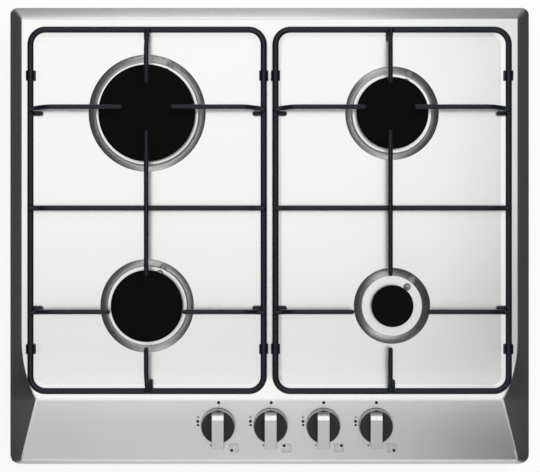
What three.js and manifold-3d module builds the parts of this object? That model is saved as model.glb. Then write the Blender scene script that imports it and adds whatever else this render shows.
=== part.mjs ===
// Built-in gas cooktop with four burners. Millimetres, +X right, +Y to the rear, +Z up.
// The origin is the middle of the outline, on the underside of the casing.

import * as THREE from 'three';
import { mergeVertices } from 'three/addons/utils/BufferGeometryUtils.js';
import Module from 'manifold-3d';

const wasm = await Module();
wasm.setup();

// ---------------------------------------------------------------- driving dimensions

const GAP = 0.3;                 // clearance between pieces that touch or are cut by each other
const SHEET = 1;                 // steel sheet of the panel and the casing

// Outline and heights.
const WIDTH = 580;
const DEPTH = 510;
const WORKTOP_Z = 41;            // worktop surface above the casing's underside
const TOP_RISE = 14;             // flat cooking surface above the worktop
const SEAL_HEIGHT = 1.2;         // foam strip, squeezed
const SEAL_WIDTH = 6;
const LIP_HEIGHT = 1.5;          // upright edge all round
const RETURN_WIDTH = 8;          // flange folded in under the rim
const REAR_CORNER_RADIUS = 8;
const FRONT_CORNER_RADIUS = 11;
const CREST_CORNER_RADIUS = 2.5;
const CORNER_STEPS = 3;

// Sloping rim and control strip.
const SIDE_RUN = 13;
const REAR_RUN = 13.5;
const FRONT_RUN = 4;
const STRIP_DEPTH = 72.5;        // control strip, from the front edge to its crease
const STRIP_DROP = 6.4;
const CREASE_SOFTNESS = 7;       // width of the rounded crease
const BEND_RADIUS = 142;         // side edges curve in towards the crease
const BEND_LENGTH = 67.5;
const BEND_STEPS = 5;

// Pan supports and the trays under them.
const GRATE_SPACE = 6.1;         // between the two pan supports
const GRATE_SIDE_MARGIN = 21.45; // from the outline
const GRATE_REAR_MARGIN = 22.9;
const GRATE_FRONT_MARGIN = 7;    // from the crease
const GRATE_CORNER_RADIUS = 20;
const FRAME_WIRE = 7;
const FINGER_WIRE = 5.2;
const CROSS_WIRE = 5.8;
const WELD = 0.5;                // depth that crossing wires are melted into each other
const PAN_RISE = 29;             // pan plane above the flat surface
const FOOT_HEIGHT = 8;           // rubber under the frame wire
const FOOT_WIDTH = 10;
const FOOT_LENGTH = 10.6;
const FOOT_GRIP = 2;             // height of the rubber above the wire's middle
const FOOT_REAR_INSET = 54;      // middle of a foot, from the end of its pan support
const FOOT_FRONT_INSET = 49.9;
const FINGER_LINE_X = -1.4;      // line of the lengthwise fingers, from the middle of the pan support
const FINGER_LINE_INSET = 1.2;   // and further towards the other pan support
const REAR_ROW_SHIFT = 5.7;      // a row of crosswise fingers lies a little off its burners' middles
const REAR_ROW_REACH = 27.2;     // finger tips, from that line
const REAR_STUB_SHIFT = -6.2;    // locating pin beside a finger
const FRONT_ROW_SHIFT = -5.8;
const FRONT_ROW_REACH = 41;
const FRONT_STUB_SHIFT = 3.5;
const REAR_TIP_REACH = 32.3;     // tips of the lengthwise fingers and bar, from the burners' middles
const REAR_TIP_STUB_SHIFT = -1.1;
const FRONT_TIP_REACH = 45.8;
const FRONT_TIP_STUB_SHIFT = 3.7;
const LONG_BAR_REAR_REACH = 20.5;
const LONG_BAR_FRONT_REACH = 34.7;
const CROSSBAR_Y = 2.5;
const RISE_START = 8;            // bend up of a wire, measured inwards from the frame wire
const RISE_END = 20;
const STUB_REACH = 11.5;         // short locating pin under the frame, measured inwards from the frame wire
const FINGER_END = 1.8;          // a finger's outer end lies past the frame wire's middle, bent down a little
const REAR_FINGER_END = 5.4;
const FINGER_DIP = 1.2;
const RISE_RADIUS = 6;
const TRAY_INSET = 3.5;
const TRAY_RUN = 7;
const TRAY_DEPTH = 1.5;
const TRAY_CORNER_RADIUS = 16.5;

// Burners.
const BURNER_SHIFT = 0.7;        // burners stand a little outside their pan support's middle
const BURNER_REAR_MARGIN = 118.3; // from the outline
const BURNER_FRONT_MARGIN = 104.5; // from the crease
const RECESS_DEPTH = 6.5;
const CAP_RISE = 9;              // cap top above the flat surface
const CAP_HEIGHT = 3.7;
const CAP_OVERHANG = 6;
const HEAD_WALL = 4.5;
const HEAD_PLATE = 2.5;
const CUP_WALL = 2.2;
const CUP_FLOOR = 3;
const CUP_BASE_Z = 8;
const CUP_RIM_RISE = 2.5;        // cup rim above the recess floor
const CUP_FLANGE = 7;
const CUP_FLANGE_HEIGHT = 2.2;
const VENTURI_BASE_Z = 24;
const VENTURI_WALL = 2;
const COLLAR_DEPTH = 4.5;
const SLOT_HEIGHT = 6;
const INJECTOR_RADIUS = 3;
const INJECTOR_HEX_RADIUS = 5.6;
const INLET_BOSS_RADIUS = 6.5;
const INLET_BOSS_LENGTH = 10;
const INLET_RISE = 7;            // inlet boss above the cup's base
const CERAMIC_RADIUS = 2.6;
const CERAMIC_COLLAR_RADIUS = 4.4;
const ELECTRODE_PIN_RADIUS = 1.2;
const ELECTRODE_BASE_Z = 26;
const LUG_WIDTH = 11;
const RAPID = {
  cap: 53.8, recess: 65.2, floor: 57.2, cup: 34, venturi: 9, slots: 16, slot: 3, spark: 51, sides: 32,
};
const SEMI_RAPID = {
  cap: 39.9, recess: 52.1, floor: 44.2, cup: 26, venturi: 7.5, slots: 14, slot: 3, spark: 38.5, sides: 28,
};
const AUXILIARY = {
  cap: 23.3, recess: 42.6, floor: 33.6, cup: 16, venturi: 5.5, slots: 10, slot: 3, spark: 27, sides: 24,
};

// Knobs and taps. Heights here are along the knob's own axis, from the control strip's surface.
const KNOB_MARGIN = 44.1;        // from the front edge
const KNOB_MIDDLE_X = 30.5;
const KNOB_PITCH = 58.6;
const KNOB_GAP = 3.5;
const KNOB_FACE = 12.5;
const KNOB_TOP = 21.5;
const KNOB_FOOT_RADIUS = 20;
const KNOB_FACE_RADIUS = 18.6;
const KNOB_WALL = 1.6;
const GRIP_WIDTH = 13.4;
const GRIP_REAR = 17.1;
const GRIP_FRONT = 23.6;
const PUSH_TRAVEL = 3;
const SPINDLE_RADIUS = 3;
const SPINDLE_HOLE_RADIUS = 5;
const SPINDLE_TOP = 9;
const SPINDLE_LENGTH = 29.6;
const TAP_TOP = -10;
const TAP_BASE = -32;
const TAP_FLOOR = 4;
const TAP_RADIUS = 12;
const TAP_BORE_TOP_RADIUS = 8.4;
const TAP_BORE_BASE_RADIUS = 6.4;
const TAP_OUTLET_HEIGHT = -22;
const TAP_OUTLET_REACH = 20;
const TAP_OUTLET_RADIUS = 5.5;
const SADDLE_HALF = 11;
const SADDLE_HEIGHT = 8;
const TAP_BURNERS = ['front_left', 'rear_left', 'rear_right', 'front_right'];

// Gas rail, pipes and the electric parts.
const RAIL_RADIUS = 7.5;
const RAIL_LEFT_X = -78;
const RAIL_MARGIN = 22;          // from the casing's right wall
const RAIL_BEND = 25;
const INLET_Z = 20;
const INLET_REACH = 18;          // gas inlet and gland, behind the casing
const INLET_LENGTH = 40;
const INLET_RADIUS = 10.48;      // half-inch gas thread
const INLET_BORE = 6.5;
const INLET_HEX_RADIUS = 14;
const PIPE_RADIUS = 4;
const PIPE_BEND = 24;
const CASING_SIDE_MARGIN = 18;   // from the outline
const CASING_FRONT_MARGIN = 22;
const CASING_REAR_MARGIN = 37;
const CASING_CORNER_RADIUS = 6;
const MODULE_MARGIN = 72;        // from the casing's right wall
const MODULE_Y = 40;
const MODULE_SIZE = [64, 38, 20];
const GLAND_MARGIN = 72;         // from the casing's left wall
const GLAND_Z = 20;
const GLAND_BORE = 4;
const GLAND_THREAD_RADIUS = 8;
const GLAND_NUT_RADIUS = 11;
const CLAMP_REAR_INSET = 68;    // middle of a clamp, from the end of the casing
const CLAMP_FRONT_INSET = 83;
const CLAMP_WIDTH = 24;
const CLAMP_SHEET = 2;
const CLAMP_TOP_Z = 39;
const CLAMP_FACE_Z = 6;          // takes a worktop of WORKTOP_Z - CLAMP_FACE_Z
const CLAMP_REACH = 16.5;

// Sides of round pieces.
const SMALL_SIDES = 8;
const WIRE_SIDES = 6;
const TUBE_SIDES = 12;
const KNOB_SIDES = 20;

// ---------------------------------------------------------------- sizes worked out from these

const RIM_Z = WORKTOP_Z + SEAL_HEIGHT + GAP;
const LIP_TOP_Z = RIM_Z + LIP_HEIGHT;
const TOP_Z = WORKTOP_Z + TOP_RISE;
const CREASE_Y = -DEPTH / 2 + STRIP_DEPTH;
const STRIP_SLOPE = STRIP_DROP / (STRIP_DEPTH - FRONT_RUN);
const STRIP_TILT = Math.atan(STRIP_SLOPE);
const GRATE_WIDTH = (WIDTH - GRATE_SPACE) / 2 - GRATE_SIDE_MARGIN;
const GRATE_DEPTH = DEPTH - STRIP_DEPTH - GRATE_REAR_MARGIN - GRATE_FRONT_MARGIN;
const GRATE_X = (GRATE_WIDTH + GRATE_SPACE) / 2;
const GRATE_Y = CREASE_Y + GRATE_FRONT_MARGIN + GRATE_DEPTH / 2;
const BURNER_X = GRATE_X + BURNER_SHIFT;
const BURNER_REAR_Y = DEPTH / 2 - BURNER_REAR_MARGIN;
const BURNER_FRONT_Y = CREASE_Y + BURNER_FRONT_MARGIN;
const TRAY_Z = TOP_Z - TRAY_DEPTH;
const FLOOR_Z = TRAY_Z - RECESS_DEPTH;
const FRAME_Z = TOP_Z + FOOT_HEIGHT + FRAME_WIRE / 2;
const FINGER_Z = TOP_Z + PAN_RISE - FINGER_WIRE / 2;
const CROSSBAR_Z = FINGER_Z - FINGER_WIRE / 2 - CROSS_WIRE / 2 + WELD;
const CAP_TOP_Z = TOP_Z + CAP_RISE;
const CAP_BASE_Z = CAP_TOP_Z - CAP_HEIGHT;
const CUP_RIM_Z = FLOOR_Z + CUP_RIM_RISE;
const FLANGE_TOP_Z = FLOOR_Z - SHEET - GAP;
const FLANGE_BASE_Z = FLANGE_TOP_Z - CUP_FLANGE_HEIGHT;
const INLET_BOSS_Z = CUP_BASE_Z + INLET_RISE;
const RAIL_HEIGHT = TAP_BASE - RAIL_RADIUS - GAP;
const KNOB_Y = -DEPTH / 2 + KNOB_MARGIN;
const KNOB_Z = stripZ(KNOB_Y);
const CASING_HALF_WIDTH = WIDTH / 2 - CASING_SIDE_MARGIN;
const CASING_FRONT_Y = -DEPTH / 2 + CASING_FRONT_MARGIN;
const CASING_REAR_Y = DEPTH / 2 - CASING_REAR_MARGIN;
const RAIL_RIGHT_X = CASING_HALF_WIDTH - RAIL_MARGIN;
const INLET_END_Y = CASING_REAR_Y + INLET_REACH;
const MODULE_X = CASING_HALF_WIDTH - MODULE_MARGIN;
const GLAND_X = GLAND_MARGIN - CASING_HALF_WIDTH;
const BURNERS = [
  { name: 'rear_left', size: RAPID, x: -BURNER_X, y: BURNER_REAR_Y, sparkAngle: 66, inletAngle: 0 },
  { name: 'rear_right', size: SEMI_RAPID, x: BURNER_X, y: BURNER_REAR_Y, sparkAngle: 66, inletAngle: 180 },
  { name: 'front_left', size: SEMI_RAPID, x: -BURNER_X, y: BURNER_FRONT_Y, sparkAngle: 69, inletAngle: 0 },
  { name: 'front_right', size: AUXILIARY, x: BURNER_X, y: BURNER_FRONT_Y, sparkAngle: 51, inletAngle: 270 },
];

// ---------------------------------------------------------------- helpers

function stripZ(y) {
  return TOP_Z - (CREASE_Y - y) * STRIP_SLOPE;
}

function skinZ(y) {
  return y > CREASE_Y ? TOP_Z : stripZ(y);
}

function radians(degrees) {
  return degrees * Math.PI / 180;
}

// Turns a geometry's faces outwards.
function facingOut(geometry) {
  geometry.deleteAttribute('normal');
  geometry.deleteAttribute('uv');
  const merged = mergeVertices(geometry, 1e-4);
  const index = Uint32Array.from(merged.index.array);
  const [a, b, c] = [new THREE.Vector3(), new THREE.Vector3(), new THREE.Vector3()];
  let volume = 0;
  for (let i = 0; i < index.length; i += 3) {
    a.fromBufferAttribute(merged.attributes.position, index[i]);
    b.fromBufferAttribute(merged.attributes.position, index[i + 1]);
    c.fromBufferAttribute(merged.attributes.position, index[i + 2]);
    volume += a.dot(b.cross(c));
  }
  if (volume < 0) index.reverse();
  merged.setIndex(new THREE.BufferAttribute(index, 1));
  return merged;
}

function solid(geometry) {
  const closed = facingOut(geometry);
  return new wasm.Manifold(new wasm.Mesh({
    numProp: 3,
    vertProperties: closed.attributes.position.array,
    triVerts: closed.index.array,
  }));
}

function geometryOf(body) {
  const mesh = body.getMesh();
  const geometry = new THREE.BufferGeometry();
  geometry.setAttribute('position', new THREE.BufferAttribute(mesh.vertProperties, 3));
  geometry.setIndex(new THREE.BufferAttribute(mesh.triVerts, 1));
  return geometry;
}

function joined(bodies) {
  return bodies.reduce((sum, body) => sum.add(body));
}

function cut(body, tools) {
  return tools.reduce((rest, tool) => rest.subtract(tool), body);
}

// Corner radius of a many-sided bar whose flats lie at `radius`.
function cornerRadius(radius, sides) {
  return radius / Math.cos(Math.PI / sides);
}

// Body of revolution about Z. The profile is a list of [radius, height].
function turned(profile, sides) {
  const points = profile.map(([r, z]) => new THREE.Vector2(cornerRadius(r, sides), z));
  return new THREE.LatheGeometry(points, sides).rotateX(Math.PI / 2);
}

function drum(radius, baseZ, topZ, sides = SMALL_SIDES, topRadius = radius) {
  const [top, base] = [topRadius, radius].map((r) => cornerRadius(r, sides));
  const geometry = new THREE.CylinderGeometry(top, base, topZ - baseZ, sides);
  return geometry.rotateX(Math.PI / 2).translate(0, 0, (baseZ + topZ) / 2);
}

function block(x0, x1, y0, y1, z0, z1) {
  const geometry = new THREE.BoxGeometry(x1 - x0, y1 - y0, z1 - z0);
  return geometry.translate((x0 + x1) / 2, (y0 + y1) / 2, (z0 + z1) / 2);
}

function arc(x, y, radius, from, to, steps) {
  return Array.from({ length: steps + 1 }, (_, i) => {
    const angle = radians(from + (to - from) * i / steps);
    return [x + radius * Math.cos(angle), y + radius * Math.sin(angle)];
  });
}

function roundedRectangle(x0, y0, x1, y1, radius, steps = CORNER_STEPS) {
  return [
    ...arc(x1 - radius, y0 + radius, radius, -90, 0, steps),
    ...arc(x1 - radius, y1 - radius, radius, 0, 90, steps),
    ...arc(x0 + radius, y1 - radius, radius, 90, 180, steps),
    ...arc(x0 + radius, y0 + radius, radius, 180, 270, steps),
  ];
}

function ringAt(outline, z) {
  return outline.map(([x, y]) => [x, y, z]);
}

// Triangles over part of a ring, as indices into it, facing up.
function capOver(ring, picks) {
  const contour = picks.map((i) => new THREE.Vector2(ring[i][0], ring[i][1]));
  return THREE.ShapeUtils.triangulateShape(contour, []).map((face) => {
    const [a, b, c] = face.map((i) => contour[i]);
    const up = (b.x - a.x) * (c.y - a.y) - (b.y - a.y) * (c.x - a.x) > 0;
    return (up ? face : face.toReversed()).map((i) => picks[i]);
  });
}

// Closed skin over rings of equal length, lowest first, each counter-clockwise from above.
// The top may be made of several flat pieces, each a list of indices into the last ring.
function loft(rings, topPieces) {
  const count = rings[0].length;
  const all = rings[0].map((_, i) => i);
  const lastStart = (rings.length - 1) * count;
  const index = capOver(rings[0], all).flatMap((face) => face.toReversed());
  for (let level = 0; level < rings.length - 1; level += 1) {
    for (const i of all) {
      const low = level * count + i;
      const next = level * count + (i + 1) % count;
      index.push(low, next, next + count, low, next + count, low + count);
    }
  }
  for (const picks of topPieces ?? [all]) {
    for (const face of capOver(rings.at(-1), picks)) index.push(...face.map((i) => lastStart + i));
  }
  const geometry = new THREE.BufferGeometry();
  geometry.setAttribute('position', new THREE.Float32BufferAttribute(rings.flat(2), 3));
  geometry.setIndex(index);
  return geometry;
}

// A route that a wire or pipe follows, with a section at each of its points.
class Route extends THREE.Curve {
  constructor(points) {
    super();
    this.points = points;
  }

  getPointAt(u) {
    return this.points[Math.round(u * (this.points.length - 1))].clone();
  }

  getTangentAt(u) {
    const i = Math.round(u * (this.points.length - 1));
    const tangent = new THREE.Vector3();
    for (const j of [i - 1, i]) {
      if (j < 0 || j + 1 >= this.points.length) continue;
      tangent.add(this.points[j + 1].clone().sub(this.points[j]).normalize());
    }
    return tangent.normalize();
  }
}

// Round bar along a list of corners, each corner rounded by `bend`.
function bar(corners, radius, bend, sides = WIRE_SIDES, bendSteps = 2) {
  const spots = corners.map((corner) => new THREE.Vector3(...corner));
  const points = [spots[0]];
  for (let i = 1; i < spots.length - 1; i += 1) {
    const back = spots[i - 1].clone().sub(spots[i]);
    const ahead = spots[i + 1].clone().sub(spots[i]);
    const room = Math.min(bend, back.length() * 0.48, ahead.length() * 0.48);
    const start = spots[i].clone().add(back.setLength(room));
    const end = spots[i].clone().add(ahead.setLength(room));
    points.push(...new THREE.QuadraticBezierCurve3(start, spots[i], end).getPoints(bendSteps));
  }
  points.push(spots.at(-1));
  const section = arc(0, 0, cornerRadius(radius, sides), 180 / sides, 180 / sides + 360, sides).slice(0, -1);
  const shape = new THREE.Shape(section.map(([x, y]) => new THREE.Vector2(x, y)));
  const route = new Route(points);
  return new THREE.ExtrudeGeometry(shape, { steps: points.length - 1, extrudePath: route, bevelEnabled: false });
}

// Closed hoop of round bar along a level outline.
function hoop(outline, z, radius, sides = SMALL_SIDES) {
  const count = outline.length;
  const spots = outline.map(([x, y]) => new THREE.Vector2(x, y));
  const positions = [];
  const index = [];
  for (let i = 0; i < count; i += 1) {
    const before = spots[i].clone().sub(spots[(i + count - 1) % count]).normalize();
    const after = spots[(i + 1) % count].clone().sub(spots[i]).normalize();
    const along = before.clone().add(after).normalize();
    const mitre = 1 / along.dot(after);
    for (const [out, up] of arc(0, 0, cornerRadius(radius, sides), 180 / sides, 180 / sides + 360, sides).slice(1)) {
      positions.push(spots[i].x + along.y * out * mitre, spots[i].y - along.x * out * mitre, z + up);
    }
    for (let k = 0; k < sides; k += 1) {
      const next = (i + 1) % count * sides;
      const [a, b] = [i * sides + k, i * sides + (k + 1) % sides];
      const [c, d] = [next + (k + 1) % sides, next + k];
      index.push(a, b, c, a, c, d);
    }
  }
  const geometry = new THREE.BufferGeometry();
  geometry.setAttribute('position', new THREE.Float32BufferAttribute(positions, 3));
  geometry.setIndex(index);
  return geometry;
}

// ---------------------------------------------------------------- top panel

// Right-hand edge of the panel from front to rear: each pair is a point of the outline and the point of the
// crest that stands over it. `inset` draws both in, for the panel's underside.
function rimPairs(inset) {
  const shift = inset * Math.tan(Math.PI / 8);
  const [halfX, halfY] = [WIDTH / 2 - inset, DEPTH / 2 - inset];
  const crestX = WIDTH / 2 - SIDE_RUN - shift;
  const crestFront = -DEPTH / 2 + FRONT_RUN + shift;
  const crestRear = DEPTH / 2 - REAR_RUN - shift;
  const crestR = CREST_CORNER_RADIUS;
  const corner = (outlineR, outlineY, crestY, from) => {
    const outline = arc(halfX - outlineR, outlineY, outlineR, from, from + 90, CORNER_STEPS);
    const crest = arc(crestX - crestR, crestY, crestR, from, from + 90, CORNER_STEPS);
    return outline.map((point, i) => ({ outline: point, crest: crest[i] }));
  };
  const frontR = FRONT_CORNER_RADIUS - inset;
  const rearR = REAR_CORNER_RADIUS - inset;
  const bendX = (y) => {
    const past = Math.max(0, CREASE_Y + BEND_LENGTH - y);
    return crestX - BEND_RADIUS + Math.sqrt(BEND_RADIUS ** 2 - past ** 2);
  };
  const strip = CREASE_Y - CREASE_SOFTNESS / 2;
  const share = (strip - crestFront - crestR) / (CREASE_Y - crestFront - crestR);
  const edge = [[crestX + (bendX(CREASE_Y) - crestX) * share, strip]];
  const bendStart = CREASE_Y + CREASE_SOFTNESS / 2;
  for (let i = 0; i <= BEND_STEPS; i += 1) {
    const y = bendStart + (CREASE_Y + BEND_LENGTH - bendStart) * i / BEND_STEPS;
    edge.push([bendX(y), y]);
  }
  return [
    ...corner(frontR, -halfY + frontR, crestFront + crestR, -90),
    ...edge.map(([x, y]) => ({ outline: [halfX, y], crest: [x, y] })),
    ...corner(rearR, halfY - rearR, crestRear - crestR, 0),
  ];
}

// Everything under the panel's skin, lowered and drawn in by `inset`, down to baseZ, without the recesses.
function hood(inset, baseZ) {
  const right = rimPairs(inset);
  const left = right.toReversed().map(({ outline: [ox, oy], crest: [cx, cy] }) => (
    { outline: [-ox, oy], crest: [-cx, cy] }
  ));
  const pairs = [...right, ...left];
  const outline = pairs.map((pair) => pair.outline);
  const lipZ = LIP_TOP_Z - inset * Math.tan(Math.PI / 8);
  const crest = pairs.map(({ crest: [x, y] }) => [x, y, skinZ(y) - inset]);
  const soft = CREASE_SOFTNESS / 2 + 1e-6;
  const all = crest.map((_, i) => i);
  const pieces = [
    all.filter((i) => crest[i][1] > CREASE_Y),
    all.filter((i) => Math.abs(crest[i][1] - CREASE_Y) < soft),
    all.filter((i) => crest[i][1] < CREASE_Y),
  ];
  return solid(loft([ringAt(outline, baseZ), ringAt(outline, lipZ), crest], pieces));
}

function trayCutter(x, inset) {
  const halfX = GRATE_WIDTH / 2 - TRAY_INSET;
  const halfY = GRATE_DEPTH / 2 - TRAY_INSET;
  const outline = (run) => roundedRectangle(
    x - halfX + run, GRATE_Y - halfY + run, x + halfX - run, GRATE_Y + halfY - run, TRAY_CORNER_RADIUS - run,
  );
  return solid(loft([
    ringAt(outline(TRAY_RUN), TRAY_Z - inset),
    ringAt(outline(0), TOP_Z - inset),
    ringAt(outline(0), TOP_Z + TOP_RISE),
  ]));
}

function recessCutter({ size, x, y }, inset) {
  const slope = drum(size.floor, FLOOR_Z - inset, TRAY_Z - inset, size.sides, size.recess);
  const above = drum(size.recess, TRAY_Z - inset, TOP_Z + TOP_RISE, size.sides);
  return solid(slope.translate(x, y, 0)).add(solid(above.translate(x, y, 0)));
}

// The space under the skin with trays and recesses taken out of it.
function underSkin(inset, baseZ) {
  const tools = [-GRATE_X, GRATE_X].map((x) => trayCutter(x, inset));
  return cut(hood(inset, baseZ), [...tools, ...BURNERS.map((burner) => recessCutter(burner, inset))]);
}

function sparkSpot({ size, x, y, sparkAngle }) {
  const angle = radians(sparkAngle);
  return [x + size.spark * Math.cos(angle), y + size.spark * Math.sin(angle)];
}

function topPanel() {
  const returnOutline = roundedRectangle(
    -WIDTH / 2 + SHEET + RETURN_WIDTH, -DEPTH / 2 + SHEET + RETURN_WIDTH,
    WIDTH / 2 - SHEET - RETURN_WIDTH, DEPTH / 2 - SHEET - RETURN_WIDTH, CREST_CORNER_RADIUS,
  );
  const opening = solid(loft([ringAt(returnOutline, 0), ringAt(returnOutline, RIM_Z + SHEET * 0.9)]));
  const holes = BURNERS.flatMap((burner) => {
    const [sparkX, sparkY] = sparkSpot(burner);
    return [
      drum(burner.size.cup + GAP, 0, TOP_Z, burner.size.sides / 2).translate(burner.x, burner.y, 0),
      drum(CERAMIC_RADIUS + GAP, 0, TOP_Z).translate(sparkX, sparkY, 0),
    ];
  });
  for (const x of knobXs()) {
    const hole = drum(SPINDLE_HOLE_RADIUS, TAP_TOP, KNOB_FACE);
    holes.push(hole.rotateX(STRIP_TILT).translate(x, KNOB_Y, KNOB_Z));
  }
  const skin = underSkin(0, RIM_Z).subtract(underSkin(SHEET, RIM_Z + SHEET * 0.8));
  return cut(skin, [opening, ...holes.map(solid)]);
}

function worktopSeal() {
  const outside = SHEET + GAP;
  const strip = (inset, radius) => roundedRectangle(
    -WIDTH / 2 + inset, -DEPTH / 2 + inset, WIDTH / 2 - inset, DEPTH / 2 - inset, radius,
  );
  const zs = [WORKTOP_Z, WORKTOP_Z + SEAL_HEIGHT];
  const whole = loft(zs.map((z) => ringAt(strip(outside, REAR_CORNER_RADIUS), z)));
  const middle = loft([zs[0] - 1, zs[1] + 1].map((z) => (
    ringAt(strip(outside + SEAL_WIDTH, CREST_CORNER_RADIUS), z)
  )));
  return solid(whole).subtract(solid(middle));
}

// ---------------------------------------------------------------- casing and its fittings

function bottomCasing() {
  const outline = (inset) => roundedRectangle(
    -CASING_HALF_WIDTH + inset, CASING_FRONT_Y + inset,
    CASING_HALF_WIDTH - inset, CASING_REAR_Y - inset, CASING_CORNER_RADIUS - inset,
  );
  const whole = solid(loft([ringAt(outline(0), 0), ringAt(outline(0), TOP_Z)]));
  const inside = solid(loft([ringAt(outline(SHEET), SHEET), ringAt(outline(SHEET), TOP_Z + 1)]));
  const through = (radius, x, z) => solid(
    drum(radius, -SHEET * 2, SHEET * 2, TUBE_SIDES).rotateX(Math.PI / 2).translate(x, CASING_REAR_Y, z),
  );
  return cut(whole, [
    inside,
    through(INLET_RADIUS + GAP, RAIL_RIGHT_X, INLET_Z),
    through(GLAND_THREAD_RADIUS + GAP, GLAND_X, GLAND_Z),
  ]).intersect(underSkin(SHEET + GAP, -1));
}

function worktopClamp(side, y) {
  const wall = CASING_HALF_WIDTH + GAP;
  const plate = block(wall, wall + CLAMP_SHEET, -CLAMP_WIDTH / 2, CLAMP_WIDTH / 2, CLAMP_FACE_Z, CLAMP_TOP_Z);
  const hookBase = CLAMP_FACE_Z - CLAMP_SHEET;
  const hook = block(wall, wall + CLAMP_REACH, -CLAMP_WIDTH / 2, CLAMP_WIDTH / 2, hookBase, CLAMP_FACE_Z + WELD);
  const relief = block(
    wall + CLAMP_SHEET + 2, wall + CLAMP_REACH + 1, -CLAMP_WIDTH, CLAMP_WIDTH, CLAMP_FACE_Z, CLAMP_TOP_Z,
  );
  const screw = drum(CLAMP_WIDTH / 6, wall + WELD, wall + CLAMP_SHEET * 2, 6).rotateY(Math.PI / 2);
  const body = solid(plate).add(solid(hook).subtract(solid(relief)))
    .add(solid(screw.translate(0, 0, (CLAMP_FACE_Z + CLAMP_TOP_Z) / 2)));
  const geometry = geometryOf(body).translate(0, y, 0);
  return side < 0 ? geometry.rotateZ(Math.PI).translate(0, 2 * y, 0) : geometry;
}

function cableGland() {
  const wallInside = CASING_REAR_Y - SHEET - GAP;
  const wallOutside = CASING_REAR_Y + GAP;
  const profile = [
    [GLAND_BORE, wallInside - 8], [GLAND_NUT_RADIUS, wallInside - 8], [GLAND_NUT_RADIUS, wallInside],
    [GLAND_THREAD_RADIUS, wallInside], [GLAND_THREAD_RADIUS, wallOutside], [GLAND_NUT_RADIUS, wallOutside],
    [GLAND_NUT_RADIUS, wallOutside + 8], [GLAND_THREAD_RADIUS, INLET_END_Y - 1],
    [GLAND_THREAD_RADIUS - 1, INLET_END_Y], [GLAND_BORE, INLET_END_Y], [GLAND_BORE, wallInside - 8],
  ];
  return turned(profile, TUBE_SIDES).rotateX(-Math.PI / 2).translate(GLAND_X, 0, GLAND_Z);
}

function ignitionModule() {
  const [length, width, height] = MODULE_SIZE;
  const base = SHEET + GAP;
  const parts = [block(-length / 2, length / 2, -width / 2, width / 2, base, base + height)];
  for (let i = 0; i < 4; i += 1) {
    parts.push(drum(4, base + height - WELD, base + height + 6, 8).translate((i - 1.5) * 14, 8, 0));
  }
  parts.push(block(-10, 10, -14, -6, base + height - WELD, base + height + 4));
  return geometryOf(joined(parts.map(solid))).translate(MODULE_X, MODULE_Y, 0);
}

// ---------------------------------------------------------------- burners

function burnerCup({ size, inletAngle, sparkAngle }) {
  const bore = INJECTOR_RADIUS + GAP;
  const profile = [
    [bore, CUP_BASE_Z], [size.cup, CUP_BASE_Z], [size.cup, FLANGE_BASE_Z], [size.cup + CUP_FLANGE, FLANGE_BASE_Z],
    [size.cup + CUP_FLANGE, FLANGE_TOP_Z], [size.cup, FLANGE_TOP_Z], [size.cup, CUP_RIM_Z],
    [size.cup - CUP_WALL, CUP_RIM_Z], [size.cup - CUP_WALL, CUP_BASE_Z + CUP_FLOOR],
    [bore, CUP_BASE_Z + CUP_FLOOR], [bore, CUP_BASE_Z],
  ];
  const inlet = drum(INLET_BOSS_RADIUS, size.cup - CUP_WALL / 2, size.cup + INLET_BOSS_LENGTH)
    .rotateY(Math.PI / 2).translate(0, 0, INLET_BOSS_Z).rotateZ(radians(inletAngle));
  const lug = block(
    size.cup - CUP_WALL / 2, size.spark + LUG_WIDTH / 2, -LUG_WIDTH / 2, LUG_WIDTH / 2, FLANGE_BASE_Z, FLANGE_TOP_Z,
  );
  const lugHole = drum(CERAMIC_RADIUS + GAP, 0, TOP_Z).translate(size.spark, 0, 0);
  return joined([
    solid(turned(profile, size.sides / 2)), solid(inlet), solid(lug.rotateZ(radians(sparkAngle))),
  ]).subtract(solid(lugHole.rotateZ(radians(sparkAngle))));
}

function injector() {
  const seat = CUP_BASE_Z + CUP_FLOOR + GAP;
  return turned([
    [0, CUP_BASE_Z - 2], [INJECTOR_RADIUS, CUP_BASE_Z - 2], [INJECTOR_RADIUS, seat],
    [INJECTOR_HEX_RADIUS, seat], [INJECTOR_HEX_RADIUS, seat + 5], [INJECTOR_RADIUS, seat + 5],
    [INJECTOR_RADIUS * 0.8, seat + 8.5], [0, seat + 8.5],
  ], SMALL_SIDES);
}

function sparkElectrode() {
  const collarTop = FLANGE_BASE_Z - GAP;
  const ceramicTop = CAP_BASE_Z - 6;
  return turned([
    [0, ELECTRODE_BASE_Z], [CERAMIC_COLLAR_RADIUS, ELECTRODE_BASE_Z], [CERAMIC_COLLAR_RADIUS, collarTop],
    [CERAMIC_RADIUS, collarTop], [CERAMIC_RADIUS, ceramicTop],
    [ELECTRODE_PIN_RADIUS, ceramicTop + 0.8], [ELECTRODE_PIN_RADIUS, CAP_BASE_Z - 1], [0, CAP_BASE_Z - 1],
  ], SMALL_SIDES);
}

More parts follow.
